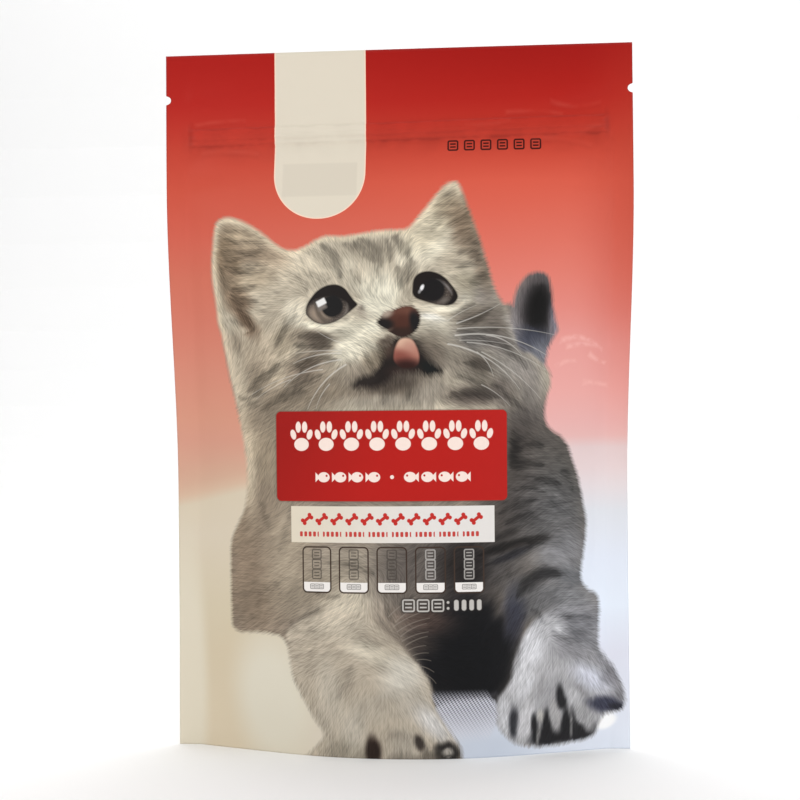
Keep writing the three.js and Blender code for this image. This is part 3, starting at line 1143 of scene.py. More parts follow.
FUR_SPREAD = 90  # how far each direction holds, in square millimetres


def fur_angle(u, v):
    """The local direction of the fur, in radians."""
    level, steep = 0, 0
    for at_u, at_v, degrees in FUR:
        weight = np.exp(-((u - at_u) ** 2 + (v - at_v) ** 2) / FUR_SPREAD) + 1e-9
        level = level + weight * math.cos(2 * math.radians(degrees))
        steep = steep + weight * math.sin(2 * math.radians(degrees))
    return 0.5 * np.arctan2(steep, level)


# Where the fine hairs show more or less than elsewhere: (u, v, reach across, reach up, strength).
FINENESS = (
    (-10, 25, 40, 36, 0.12), (66, 28, 26, 22, 0.3), (-56, 90, 24, 44, 0.5), (-10, 208, 34, 14, 0.7),
    (-45, 160, 24, 18, 1.7), (-14, 166, 14, 12, 1.8), (42, 163, 22, 20, 1.35), (-68, 205, 14, 22, 1.5),
    (64, 108, 22, 28, 2.0), (70, 60, 20, 10, 1.4), (58, 188, 12, 24, 0.3),
)


def hair_strength(u, v):
    """How strongly the fine hairs show at a place: 1 is the usual."""
    strength = np.ones(u.shape)
    for at_u, at_v, across, up, value in FINENESS:
        near = bump(np.hypot((u - at_u) / across, (v - at_v) / up), 0, 1)
        strength += (value - strength) * near
    return strength


def strands(u, v, angle, width, length, rng):
    """Noise drawn out along the fur, mostly from -1 to 1."""
    knots = rng.uniform(-1, 1, (int(360 / width), int(280 / width)))
    total = 0
    for step in np.linspace(-0.5, 0.5, 9) * length:
        row = (v + 30 + step * np.sin(angle)) / width
        column = (u + 140 + step * np.cos(angle)) / width
        total = total + cubic_sample(knots, row, column)
    return np.clip(total / total.std() / 2, -1.3, 1.3)


# ---------------------------------------------------------------- the kitten's outlines

LEFT_SIDE = (
    (-42, -8), (-36, 2), (-31.5, 7), (-31.2, 10.5), (-34.5, 15), (-37.5, 20), (-40.5, 25),
    (-43.5, 30.5), (-45, 36), (-45.8, 41), (-46.8, 45.5), (-50, 48.9), (-56, 50), (-62, 50.1),
    (-70, 49.8), (-73.4, 52), (-74.2, 58), (-74.3, 68), (-74.3, 80), (-74, 86), (-72.4, 91.5),
    (-69.4, 96.5), (-67, 101), (-65.5, 107), (-65, 113), (-65.2, 120), (-66, 127), (-67.3, 134),
    (-68.8, 141), (-70.5, 148), (-72.4, 155), (-74.2, 163), (-75.6, 170), (-76.8, 176),
)
HEAD_TOP = (
    (-78.4, 181), (-78.8, 186), (-79.7, 192), (-80.6, 199), (-80.7, 206), (-80.1, 214), (-79.2, 221),
    (-77.6, 225.2), (-74, 226.9), (-70, 226.6), (-65, 224.5), (-60, 221.6), (-55, 217.6), (-50, 213.5),
    (-46, 211.4), (-42, 211.3), (-37, 213.4), (-33, 215.8), (-29, 217.2), (-22, 216.9), (-14, 218),
    (-6, 219.2), (0, 219.3), (5.2, 219.9), (8.6, 223.6), (12.5, 228.4), (17.2, 234.4), (21.4, 238.6),
    (25, 239.8), (27.2, 238), (29, 233.4), (31, 228), (33.2, 222), (35.5, 215), (37.5, 208),
    (39.5, 201), (41.2, 195), (43.2, 190), (45.6, 186.8), (48.6, 186.2),
)
TAIL = (
    (49, 182), (49.4, 187.5), (51.6, 194), (55.5, 198.6), (60.5, 199.9), (64, 198.4), (65.6, 193.5),
    (66.3, 187), (67.3, 181), (68.7, 175.8), (67, 172.8), (64.6, 168.5), (63.2, 163), (57, 156),
    (50, 160), (49, 170),
)
RIGHT_SIDE = (
    (58, 180), (63, 166), (63.4, 161), (65.3, 157), (65.2, 152), (63.7, 147), (62.9, 142), (63.6, 137),
    (66, 134), (70, 131.4), (73.2, 127.5), (75.8, 121), (78, 115), (79.6, 109), (80.8, 103), (82, 97),
    (82, 91), (81, 84), (79.8, 77), (79.6, 71.5), (82.6, 67.5), (86.6, 65.3), (88, 61.5), (88, 55),
    (87.6, 48), (88, 42.5), (91.5, 38), (95, 33), (97.6, 27.5), (98.8, 21.5), (97.8, 17), (94, 15.3),
    (89.5, 14), (87, 10.5), (85.4, 6.6), (81, 4.6), (74, 3.8), (66, 3), (57, 3.2), (50.5, 4.6),
)
UNDER_BELLY = (
    (46, 7.5), (42.2, 12.5), (41.2, 18), (41, 22), (38, 24), (30, 24), (22, 23.4), (16.8, 21.4),
    (17.6, 18.4), (20.8, 13.5), (24, 8.6), (26.5, 4), (27, -2), (26, -8),
)
SILHOUETTE = LEFT_SIDE + HEAD_TOP + RIGHT_SIDE + UNDER_BELLY

HEAD_FRONT = (
    (-62, 118), (-66, 130), (-68.8, 141), (-72.4, 155), (-75.6, 170), (-78.4, 181), (-79.7, 192),
    (-80.7, 206), (-79.2, 224), (-60, 230), (-40, 222), (5, 224), (20, 244), (30, 240), (38, 208),
    (43.2, 190), (46.5, 184.5), (48.6, 179), (50.2, 172), (52, 167.5), (58, 165), (64, 159),
    (65.2, 152), (60, 144.5), (52, 140), (40, 132), (30, 112), (-30, 108),
)
LEFT_ARM = (
    (-48, -10), (-34, 4), (-31, 10.5), (-37.5, 20), (-43.5, 30.5), (-46, 42), (-46, 52), (-36, 58),
    (-20, 60), (-9, 56), (-3, 50.6), (1.8, 46.8), (6, 41.7), (10.2, 37.3), (13.4, 32.5), (15, 27),
    (16, 21.7), (17.6, 18.4), (20.8, 13.5), (24, 8.6), (26.5, 4), (27, -2), (26, -10),
)
RIGHT_LEG = (
    (50.5, 4.6), (46, 7.5), (42.2, 12.5), (41.2, 18), (42.4, 24.5), (45.4, 28.4), (47.6, 32),
    (48.8, 39), (51.4, 46), (54, 51), (58, 55.5), (64, 59.5), (71, 62), (79, 63.8), (90, 63), (91, 48),
    (94, 38), (99, 28), (100, 20), (98, 16.6), (94, 15.2), (89.5, 14), (87, 10.5), (85.4, 6.6),
    (81, 4.6), (74, 3.8), (66, 3), (57, 3.2),
)
LEFT_EYE = (
    (-37.5, 184), (-37.2, 186.7), (-35.7, 189.6), (-33, 192.7), (-29.8, 194.8), (-26.6, 195.6),
    (-23.4, 195.3), (-20.6, 193.6), (-18.5, 190.8), (-16.8, 188.6), (-15.4, 186.9), (-16.8, 185.5),
    (-18.6, 184), (-20.8, 182.3), (-23.3, 180.6), (-26.3, 179.4), (-29.6, 178.9), (-32.8, 179.5),
    (-35.3, 181.1), (-37, 182.7),
)
RIGHT_EYE = (
    (7.5, 193.3), (8, 197.2), (9.8, 199.4), (12.5, 200.4), (15.3, 200.4), (18.4, 199.4), (21.4, 197.4),
    (23.8, 194.6), (25.6, 192), (26.4, 189.5), (25.1, 187.2), (22.7, 186), (19.3, 186.1), (15.7, 186.9),
    (12, 188), (8.9, 189.3), (7.6, 191.1),
)
NOSE = (
    (-7.9, 179.8), (-6.2, 180.6), (-5.4, 182.3), (-3.6, 183.9), (-1, 184.5), (1.4, 185.3), (4.2, 186),
    (7.3, 186), (9.4, 184.5), (10.8, 182.4), (10.8, 179.7), (9.9, 177), (8.5, 175), (6.4, 173.5),
    (3.8, 172.7), (1.2, 173.3), (-1.2, 174.7), (-3, 175.8), (-4.8, 176.8), (-6.4, 178.2),
)
MOUTH = (
    (-16.8, 152.8), (-14.4, 155.6), (-11.4, 156.8), (-8, 158), (-6, 160.4), (-4.4, 163.2),
    (-3.2, 166.4), (-1.6, 169.8), (0.6, 172.4), (4.4, 173.6), (8, 172.4), (9.8, 169.6), (11.4, 166.4),
    (13.8, 163.4), (16.8, 161), (19.6, 159.4), (18.4, 157.8), (15.4, 157), (12, 157.8), (9, 158.8),
    (4.4, 158.6), (0, 157.6), (-3, 154.8), (-7, 153.2), (-12.2, 152.6),
)
TONGUE = (
    (0, 166.8), (1, 170), (2.4, 172), (4.8, 172.6), (7.4, 171.8), (9, 169.3), (10, 166.6), (10.3, 164),
    (9.6, 161.4), (6.5, 160.2), (2.3, 160.7), (0, 163.4),
)


# ---------------------------------------------------------------- painting the kitten


def paint_tail(c):
    """The tail's tip, dark in its middle and blue grey below."""
    c.fill("938e8e", outline_distance(c.u, c.v, TAIL) - 0.5, 2.0)
    c.blobs(
        ("a98b80", (52, 197), (6, 4), 40, 0.6), ("5c5656", (57.4, 187.5), (8.0, 11.5), -12, 0.8, 0.6),
        ("2b282a", (59.6, 183), (6.4, 13), -6, 0.9, 0.6),
        ("0b0908", (60.2, 184.5), (4.6, 10), -6, 1.0, 0.7), ("565050", (60.4, 197.4), (5, 2.2), 0, 0.7),
        ("3c3f4c", (58, 171.5), (8, 5), 0, 0.8), ("6c6e76", (61, 165), (5, 6), 0, 0.8),
        ("7b7580", (67, 178), (2, 8), 8, 0.7),
    )


def paint_body(c):
    """Shoulders, chest, belly and the far side. c starts as the body's mid grey brown."""
    c.blobs(
        ("9a8a75", (-68, 96), (14, 16), 60, 0.9), ("8b7a68", (-62, 72), (16, 26), 0, 0.9),
        ("837463", (-64, 63), (12, 9), 20, 0.7), ("8f8170", (-56, 108), (9, 24), 0, 0.9),
        ("968874", (-57, 126), (8, 12), 0, 0.9), ("b9a992", (-65.5, 122), (3, 16), 4, 0.8),
        ("cfc0a8", (-65, 126), (4, 22), 3, 0.9), ("a89b88", (-45, 84), (10, 22), -10, 0.9),
        ("958a79", (-34, 68), (16, 8), 20, 0.8), ("cac0ad", (-20, 62), (14, 8), 30, 1.0),
        ("b0a695", (-14, 78), (16, 9), 0, 0.6), ("8e857a", (-5, 72), (7, 12), 0, 0.7),
        ("6e665f", (2, 80), (10, 12), 0, 0.7), ("514b48", (24, 78), (24, 16), 0, 0.95),
        ("6b655f", (12, 80), (5, 8), 0, 0.5), ("231f1e", (30, 79), (12, 12), 0, 1.0),
        ("625b55", (10, 63), (10, 5), 0, 0.7), ("807974", (56, 143), (8, 8), -40, 0.9),
        ("504b47", (62, 120), (20, 22), 10, 1.0), ("57544f", (72, 108), (9, 18), 15, 0.7),
        ("423d3b", (46, 100), (12, 16), 0, 0.8), ("5f5f61", (68, 92), (16, 22), 0, 0.8),
        ("4b4541", (52, 133), (6, 10), 0, 0.9), ("2c2826", (50, 125), (3, 6), 0, 0.8),
        ("7e7e81", (73, 82), (11, 9), 0, 0.8), ("4d4a49", (46, 78), (9, 12), 0, 0.7),
        ("7c7c7e", (72, 64), (20, 9), -6, 1.0), ("545252", (53, 62), (6, 9), 10, 0.9),
        ("6a696a", (60, 62), (7, 6), 20, 0.9), ("6c6d70", (75, 73), (7, 4), -8, 0.9),
        ("2a292a", (58, 72), (7.5, 3.4), 28, 0.7), ("363537", (65.5, 74.6), (5.5, 2), -4, 0.7),
        ("1d1917", (50, 86.8), (14, 2.0), 12, 0.7), ("26262e", (48.4, 82.6), (8, 1.6), 20, 0.6),
        ("23201e", (44.5, 90.6), (7, 1.4), 20, 0.65), ("121114", (29, 42), (21, 25), 0, 1.0, 0.28),
        ("4e3f39", (14, 56), (12, 6), -10, 0.85), ("3c3430", (10, 48), (8, 5), -20, 0.8),
        ("2a2c3a", (49, 57), (4, 11), 0, 0.75), ("08090c", (31, 40), (14, 16), 0, 0.9),
        ("55535a", (30, 24.5), (14, 1.6), 0, 0.5),
    )
    c.strokes(
        -1,
        (3.0, 0.9, (35, 83), (40, 84.4), (47.4, 87.1), (56.5, 88.8), (64, 89.4)),
        (2.4, 0.8, (36.7, 78.7), (43.8, 81.1), (49.2, 83.6), (55.5, 86), (61, 87.2)),
        (3.0, 0.8, (44, 100.2), (51.2, 103.5), (58.5, 105.1)),
        (2.6, 0.8, (44.8, 95), (50.2, 97.5), (56.6, 99.1)),
        (3.4, 0.8, (47.7, 118.4), (53.1, 120), (62.3, 119.4)),
        (2.4, 0.8, (57.6, 113.8), (64.1, 112.8), (69.8, 111.8)),
        (2.4, 0.7, (69.8, 117.1), (74, 114.4), (75, 109.1)),
        (3.4, 0.8, (53.2, 127), (58.6, 128.2), (63.3, 126.8)),
        (2.0, 0.7, (50, 110), (57, 110.4), (64, 108)), (2.0, 0.6, (62, 104), (69, 103), (76, 104)),
        (4.4, 0.9, (51.7, 66.2), (54.5, 71), (59, 74.2), (64.7, 75.4), (69.4, 73.8)),
        (3.0, 0.4, (46, 92), (54, 96), (62, 98)), (3.0, 0.4, (40, 72), (47, 75), (54, 79)),
        (3.4, 0.5, (-33, 61), (-37, 58), (-42, 55.5)), (2.8, 0.5, (-24, 66), (-29, 66.5), (-34, 68)),
        (3.4, 0.3, (-50, 84), (-47, 93), (-44, 104)), (3.4, 0.35, (-61, 66), (-54, 69), (-47, 74)),
        (3.0, 0.4, (-60, 104), (-56, 98), (-54, 90)), (3.0, 0.5, (-27, 80), (-18, 79), (-9, 76)),
        (2.6, 0.5, (-4, 68), (-4, 62), (-1, 56)), (4.0, 0.6, (49, 134), (50, 128), (49, 120)),
    )
    c.strokes(
        1,
        (4.0, 0.5, (58, 82), (66, 83), (74, 78)), (3.0, 0.4, (-58, 90), (-50, 94), (-46, 100)),
        (2.0, 0.7, (59.3, 98.1), (66.8, 97), (74.4, 97.7)),
        (1.6, 0.8, (46, 84.6), (50, 85.8), (55, 86.8)),
        (2.4, 0.7, (48.2, 76), (51.8, 79.2), (58.2, 81.6), (65, 84)),
        (1.8, 0.7, (50, 116), (57, 117.4), (64, 116.4)), (1.6, 0.7, (52, 107.4), (60, 107), (68, 108)),
        (1.6, 0.8, (1, 57), (5, 60), (10, 61.4)), (1.4, 0.8, (3, 52), (8, 54), (13, 54.4)),
        (1.2, 0.6, (0, 50), (4, 49.6), (9, 50.4)), (1.4, 0.6, (-6, 66), (-5.6, 60), (-3, 54)),
    )


def paint_left_arm(c):
    """The cream arm that reaches forward to the foot, with its toes."""
    arm = outline_distance(c.u, c.v, LEFT_ARM)
    c.fill("b5aa99", arm, 1.1)
    inside = 1 - smoothstep(arm, -2, 1)
    c.blob("cbc2b0", (-10, 43), (12, 4), -18, 1.0)
    c.blob("cfcabe", (3, 34), (8, 9), -50, 0.9 * inside)
    c.blobs(
        ("b0a594", (-32, 44), (9, 10), 0, 0.7), ("c6bcaa", (-24, 54), (12, 5), 10, 0.8),
        ("b2a99a", (-12, 20), (10, 5), 0, 0.8), ("c4bdaf", (-28, 26), (5, 14), 10, 0.5),
    )
    c.blobs(
        ("b6afa3", (8, 22), (7, 7), -50, 0.7), ("cdcac6", (16, 14), (9, 4.6), -44, 1.0),
        within=inside,
    )
    c.blobs(
        ("a59d90", (4, 5), (7, 7), 10, 0.8), ("c9c4b8", (-18, 10), (5, 8), 0, 0.5),
        ("8b8476", (-24, 2), (7, 6), 0, 0.7), ("8c8577", (-15, 0), (4, 4), 0, 0.6),
        ("a9a193", (-31, 14), (3, 8), 20, 0.5), ("a9a296", (-2, 26.5), (7, 1.8), 14, 0.5),
    )
    c.strokes(
        -1,
        (4.4, 0.75, (-19, 37), (-20.4, 32), (-22, 28), (-24, 25)),
        (3.4, 0.7, (-18, 49.6), (-13, 48.4), (-7, 46.4)), (3.0, 0.7, (-45, 54.6), (-42, 52)),
        (2.4, 0.5, (-10, 37), (-7, 38.6), (-4, 39.6)), (3.0, 0.4, (-8, 22), (-3, 23), (3, 24.6)),
        (3.0, 0.4, (-38, 50), (-33, 52), (-28, 54)), (3.0, 0.3, (-37, 32), (-36, 40), (-34, 46)),
        (2.4, 0.4, (-34, 20), (-31, 14), (-29, 9)), (2.4, 0.3, (-27, 30), (-26, 24), (-26, 17)),
        (2.6, 0.4, (9, 27), (11, 23), (14, 19)), (3.4, 0.5, (-6, 8), (-2, 10), (4, 9.4)),
        (2.0, 0.4, (-15, 12), (-15, 18), (-13, 24)),
        wider=1.4,
        fainter=0.5,
    )
    c.strokes(
        1,
        (3.0, 0.5, (-34, 57), (-27, 58.6), (-20, 58)), (2.6, 0.4, (-24, 46), (-18, 45), (-10, 42)),
        (2.4, 0.5, (8, 39), (11, 37.6), (14, 34.6)), (2.0, 0.4, (-12, 33), (-5, 33), (2, 30)),
    )
    # the gaps between the toes, and the near toe's pad
    c.blobs(
        ("2a1f1a", (-9.6, 3), (3.3, 6.5), 0, 1.0, 0.4),
        ("352e2a", (9.6, 6.6), (1.8, 3.2), 28, 0.95, 0.5),
        ("2b2826", (20.8, 2.6), (5.6, 4.2), -15, 1.0, 0.35),
        ("aaa49b", (20.9, 2.6), (2.2, 1.5), -15, 0.95, 0.5), ("4c463f", (14.5, 0.5), (5, 3), 0, 0.6),
        ("6c655b", (3, -1), (8, 3), 0, 0.6),
    )


def paint_right_leg(c):
    """The grey leg, with its pale paw, toes and claws."""
    leg = outline_distance(c.u, c.v, RIGHT_LEG)
    below = 1 - smoothstep(c.v, 52, 66)
    c.fill("a5a4a6", leg, 1.1, below)
    inside = (1 - smoothstep(leg, -2, 1)) * below
    c.blobs(
        ("6c6c70", (77, 60), (18, 7), -6, 0.95), ("727376", (57, 60), (5, 5), 40, 0.8),
        ("7a7a7e", (80, 50), (10, 9), 0, 0.9), ("dcdce0", (56, 42), (5.4, 13), -14, 1.0),
        ("d4d4d7", (52, 31), (7, 8), 0, 0.9), ("bdbdc0", (66, 51), (6, 6), -30, 0.7),
        ("858487", (74, 42), (10, 4.4), -30, 0.8), ("b9b8ba", (66, 35), (11, 4), -5, 0.7),
        ("c9cbd6", (85, 29.6), (10, 4.5), -28, 0.95), ("737277", (94.5, 31), (5, 6), -50, 0.85),
        ("85858a", (90, 38), (4, 4), -40, 0.6),
        within=inside,
    )
    c.strokes(
        -1,
        (3.0, 0.5, (66, 50), (72, 47), (79, 45.4)), (2.6, 0.5, (70, 57), (76, 55.6), (84, 56)),
        (2.6, 0.4, (72, 51), (79, 49), (86, 50)), (2.4, 0.5, (56, 60), (60, 57.6), (62, 54)),
        (2.0, 0.5, (51, 44), (50, 38), (47.6, 32)), (2.4, 0.4, (84, 44), (88, 40), (93, 34)),
    )
    c.strokes(
        1,
        (2.4, 0.5, (60, 60), (66, 55), (70, 50)), (2.4, 0.4, (64, 48), (70, 42), (76, 38)),
        (2.0, 0.4, (72, 60), (78, 58.6), (86, 60)), (2.2, 0.5, (78, 34), (84, 31), (92, 25)),
    )
    # under the paw and beside it
    c.blobs(
        ("242325", (71, 7.4), (16, 5), 4, 1.0, 0.3), ("3c3d4c", (91, 18.4), (8.6, 3.4), -8, 1.0, 0.5),
        ("28282f", (95.4, 17), (3.4, 2), -8, 0.9, 0.5), ("77767a", (97, 23), (2.4, 3), 0, 0.8),
        within=inside,
    )
    # four toes, with claws and the dark between them
    c.blobs(
        ("c6c6c9", (44.6, 17.5), (3.4, 8), 14, 0.95, 0.35),
        ("333337", (48.8, 13.8), (2.2, 6.4), 2, 1.0, 0.4),
        ("c2c1c3", (54, 14.5), (3.4, 11), -10, 1.0, 0.35), ("9f9e9f", (52.6, 6.6), (3, 2.4), 0, 0.6),
        ("232224", (57.9, 11), (1.5, 6.4), 4, 1.0, 0.4),
        ("232224", (63.6, 11.6), (2.4, 6.2), 4, 1.0, 0.4),
        ("b6b3ae", (60.4, 15.8), (1.3, 2.8), 4, 1.0, 0.4),
        ("949290", (59.6, 8.4), (0.6, 5.6), -5, 0.9, 0.5),
        ("a9a7a7", (67, 15.6), (2.4, 7.6), 8, 1.0, 0.35),
        ("232224", (69.8, 22.6), (2.3, 5.4), 12, 1.0, 0.4),
        ("232224", (72, 12), (2.0, 6.6), -4, 1.0, 0.4), ("8f8d8c", (74.3, 12), (0.5, 6), 3, 0.8, 0.5),
        ("2f2e30", (76, 14.4), (1.3, 5), 10, 0.95, 0.45),
        ("a5a4a5", (80, 14.6), (3.2, 7), 34, 1.0, 0.35), ("bcbbbd", (75.4, 23), (2.4, 5), 34, 0.8, 0.5),
        ("858383", (60.5, 28), (1.2, 4.5), -10, 0.5), ("8e8c8c", (56.8, 25), (1.0, 5), -14, 0.5),
        ("858385", (78.6, 26), (1.2, 5), 40, 0.5),
        within=inside,
    )


def paint_left_ear(c):
    """The broad ear, brown inside, with long pale hairs across it."""
    c.blobs(
        ("b5a792", (-65, 212), (17, 14), -30, 1.0, 0.4), ("b09e88", (-52, 209), (8, 5), -30, 0.8),
        ("87755f", (-72.5, 208), (6.5, 14), 6, 0.95, 0.5),
        ("8d7c68", (-63, 210.5), (9, 4), -12, 0.85, 0.6), ("a89780", (-66, 218), (9, 4), -24, 0.8, 0.6),
        ("8b7965", (-72, 197), (5, 10), 8, 0.8), ("a4957f", (-61, 199), (9, 5), 4, 0.7),
        ("8d7863", (-68, 190), (6, 5), -10, 0.9), ("7d6855", (-64.6, 181.6), (3, 8), 34, 1.0),
        ("b9a996", (-74.5, 172), (2.6, 7), 10, 0.7), ("9d8f7d", (-69.5, 172), (2.2, 5), 14, 0.6),
    )
    c.strokes(
        -1,
        (1.8, 0.7, (-75, 222), (-70, 221), (-65, 221.6)),
        (2.2, 0.7, (-74, 217.6), (-69, 215), (-65, 214)),
        (2.0, 0.7, (-66, 216), (-60, 214.8), (-55, 211)),
        (3.0, 0.8, (-70, 212.4), (-63, 210), (-57, 211.6)),
        (3.0, 0.7, (-76, 212), (-72, 208), (-66, 206.6)),
        (3.6, 0.8, (-74, 204.6), (-66, 203), (-59, 205)),
        (1.8, 0.6, (-68, 201.6), (-62, 201), (-56, 202)),
        (1.6, 0.5, (-60, 206), (-56, 204.4), (-52, 205)),
        (1.8, 0.5, (-63, 221), (-60, 219.6), (-56, 217)),
        (2.4, 0.6, (-77, 206), (-75, 198), (-73, 192)),
        (3.6, 0.9, (-71, 194.4), (-65, 194.8), (-59.6, 196)),
        (3.6, 0.9, (-71, 190), (-65, 190.4), (-59, 189.2)),
        (4.0, 0.8, (-71, 193), (-69, 189), (-66.6, 185)),
        (5.4, 1.0, (-67, 186.6), (-65, 182.6), (-61, 177.4)),
        (3.0, 0.6, (-73, 182), (-69, 181), (-64.6, 177.4)),
        (2.4, 0.4, (-71, 177), (-69, 171), (-68, 165)),
        fainter=0.7,
    )
    c.strokes(
        1,
        (1.6, 0.7, (-73, 213.4), (-66, 213), (-59, 212.8)),
        (1.8, 0.7, (-71, 199.4), (-64, 200), (-55, 200.4)),
        (1.6, 0.6, (-68, 207), (-62, 207.8), (-55, 206.4)),
        (1.6, 0.6, (-73, 219), (-66, 218), (-59, 217)),
        (1.6, 0.7, (-68, 197), (-62, 197.8), (-54, 197.4)),
        (1.4, 0.6, (-66, 192.4), (-60, 192.6), (-53, 193)),
        (3.4, 0.5, (-74, 225), (-68, 224), (-61, 220.4)),
        (3.0, 0.4, (-78, 214), (-78.6, 206), (-78.4, 197)),
        fainter=0.8,
    )


def paint_right_ear(c):
    """The upright ear, darker along its outer side."""
    c.blobs(
        ("cac0a9", (14, 222), (8, 13), -30, 1.0, 0.5), ("9a8d78", (24, 229), (7, 7), 20, 0.95),
        ("83715e", (29.6, 221), (6, 10), 8, 0.9), ("80705f", (32, 213), (5, 6), 10, 0.8),
        ("a39886", (27, 207), (7, 5), 20, 0.6), ("75685a", (37, 203), (4, 12), 12, 0.85),
    )
    c.strokes(
        -1,
        (3.6, 0.75, (23, 217), (29, 219.6), (34, 220.6)),
        (3.6, 0.75, (22, 222), (28, 224.6), (32.6, 224.8)),
        (2.6, 0.5, (14, 223), (19, 225.6), (24, 226.4)),
        (2.6, 0.5, (16, 232.4), (21, 234.4), (26.6, 234.6)),
        (2.4, 0.5, (18, 229.4), (23, 230.4), (28, 230)),
        (3.6, 0.9, (27, 208), (32, 209.8), (36.4, 208)),
        (3.6, 0.9, (26, 201.6), (31, 203.4), (36.4, 206)),
        (3.8, 0.95, (32, 195), (35.6, 197.6), (39, 199.4)),
        (2.6, 0.6, (25, 212), (31, 213.4), (36, 212)), (2.6, 0.5, (35.6, 214), (37, 208), (39.6, 201)),
        (2.0, 0.4, (14, 218), (18, 221), (22, 222)),
        fainter=0.7,
    )
    c.strokes(
        1,
        (1.3, 0.8, (17, 218.4), (23, 223.4), (31.6, 228)),
        (1.3, 0.8, (20, 216.4), (27, 219.6), (34, 221)),
        (1.6, 0.6, (24, 205.6), (29, 206), (35, 203.6)),
        (1.8, 0.7, (24, 199.6), (31, 200.8), (38, 202)),
        (1.6, 0.6, (13, 227), (20, 228.4), (28, 228.6)),
        (1.6, 0.6, (22, 210.4), (28, 211.4), (35, 210.8)), (3.0, 0.5, (9, 222), (13, 229), (19, 236)),
        (3.4, 0.5, (8, 216), (14, 213), (20, 209)),
        fainter=0.8,
    )


def paint_forehead(c):
    """The forehead's stripes and pale patches."""
    c.blobs(
        ("cdc2ad", (-40, 207), (10, 6), 20, 0.95), ("d0c6b1", (-6, 217.5), (26, 2.4), 2, 0.7),
        ("c2b8a5", (-24, 199), (12, 5), 10, 0.7), ("dbd6c3", (-5, 190), (9, 8), 90, 1.0),
        ("d6cfbb", (14, 211), (9, 6), 10, 1.0), ("d5ccb8", (10, 203.6), (4, 3), 30, 0.6),
        ("a39988", (-12, 210), (13, 5), 0, 0.6), ("d6cdb9", (2.6, 207), (1.9, 3.2), 24, 0.95, 0.5),
        ("d2c9b5", (-19.4, 204.6), (2.4, 4), 20, 0.8), ("9f9584", (5, 192), (2.6, 9), -8, 0.55),
    )
    c.strokes(
        -1,
        (4.0, 0.85, (-31, 213.4), (-27, 209), (-24.4, 204.4), (-23.2, 199.6)),
        (2.6, 0.4, (-34, 211), (-29.6, 206), (-27, 202)),
        (4.0, 0.75, (-21, 213.4), (-16, 212), (-12, 208.6), (-9, 205)),
        (3.6, 0.75, (-15, 215.6), (-10, 213), (-7, 209), (-6, 203)),
        (2.6, 0.5, (-9, 207), (-7.6, 203), (-7, 198.6)),
        (3.0, 0.75, (-3.6, 214), (-1.6, 210), (-1.8, 206)),
        (3.6, 0.8, (-1, 215), (2.4, 213.6), (5, 209.6), (7.4, 205.6)),
        (4.0, 0.7, (7.4, 206), (6.4, 202), (5.2, 196)), (3.0, 0.8, (1.4, 204.4), (2.2, 200), (3, 194)),
        (2.4, 0.4, (-37, 201), (-31, 197.6), (-27, 198)),
        (2.4, 0.4, (-19, 201.6), (-16, 199), (-13, 195.6)),
        (2.4, 0.4, (-44, 201), (-39, 197), (-37, 193)),
    )
    c.strokes(
        1,
        (3.0, 0.5, (-38, 209), (-34, 204), (-30, 201)), (3.0, 0.5, (-15, 204), (-13, 200), (-11, 196)),
        (3.0, 0.5, (-4, 204), (-3, 198), (-3, 192)), (2.4, 0.5, (9, 214), (9.6, 209), (10.4, 204)),
        (2.6, 0.4, (-50, 207), (-44, 204.4), (-40, 201)), (3.0, 0.5, (16, 214), (20, 210), (26, 206.6)),
    )


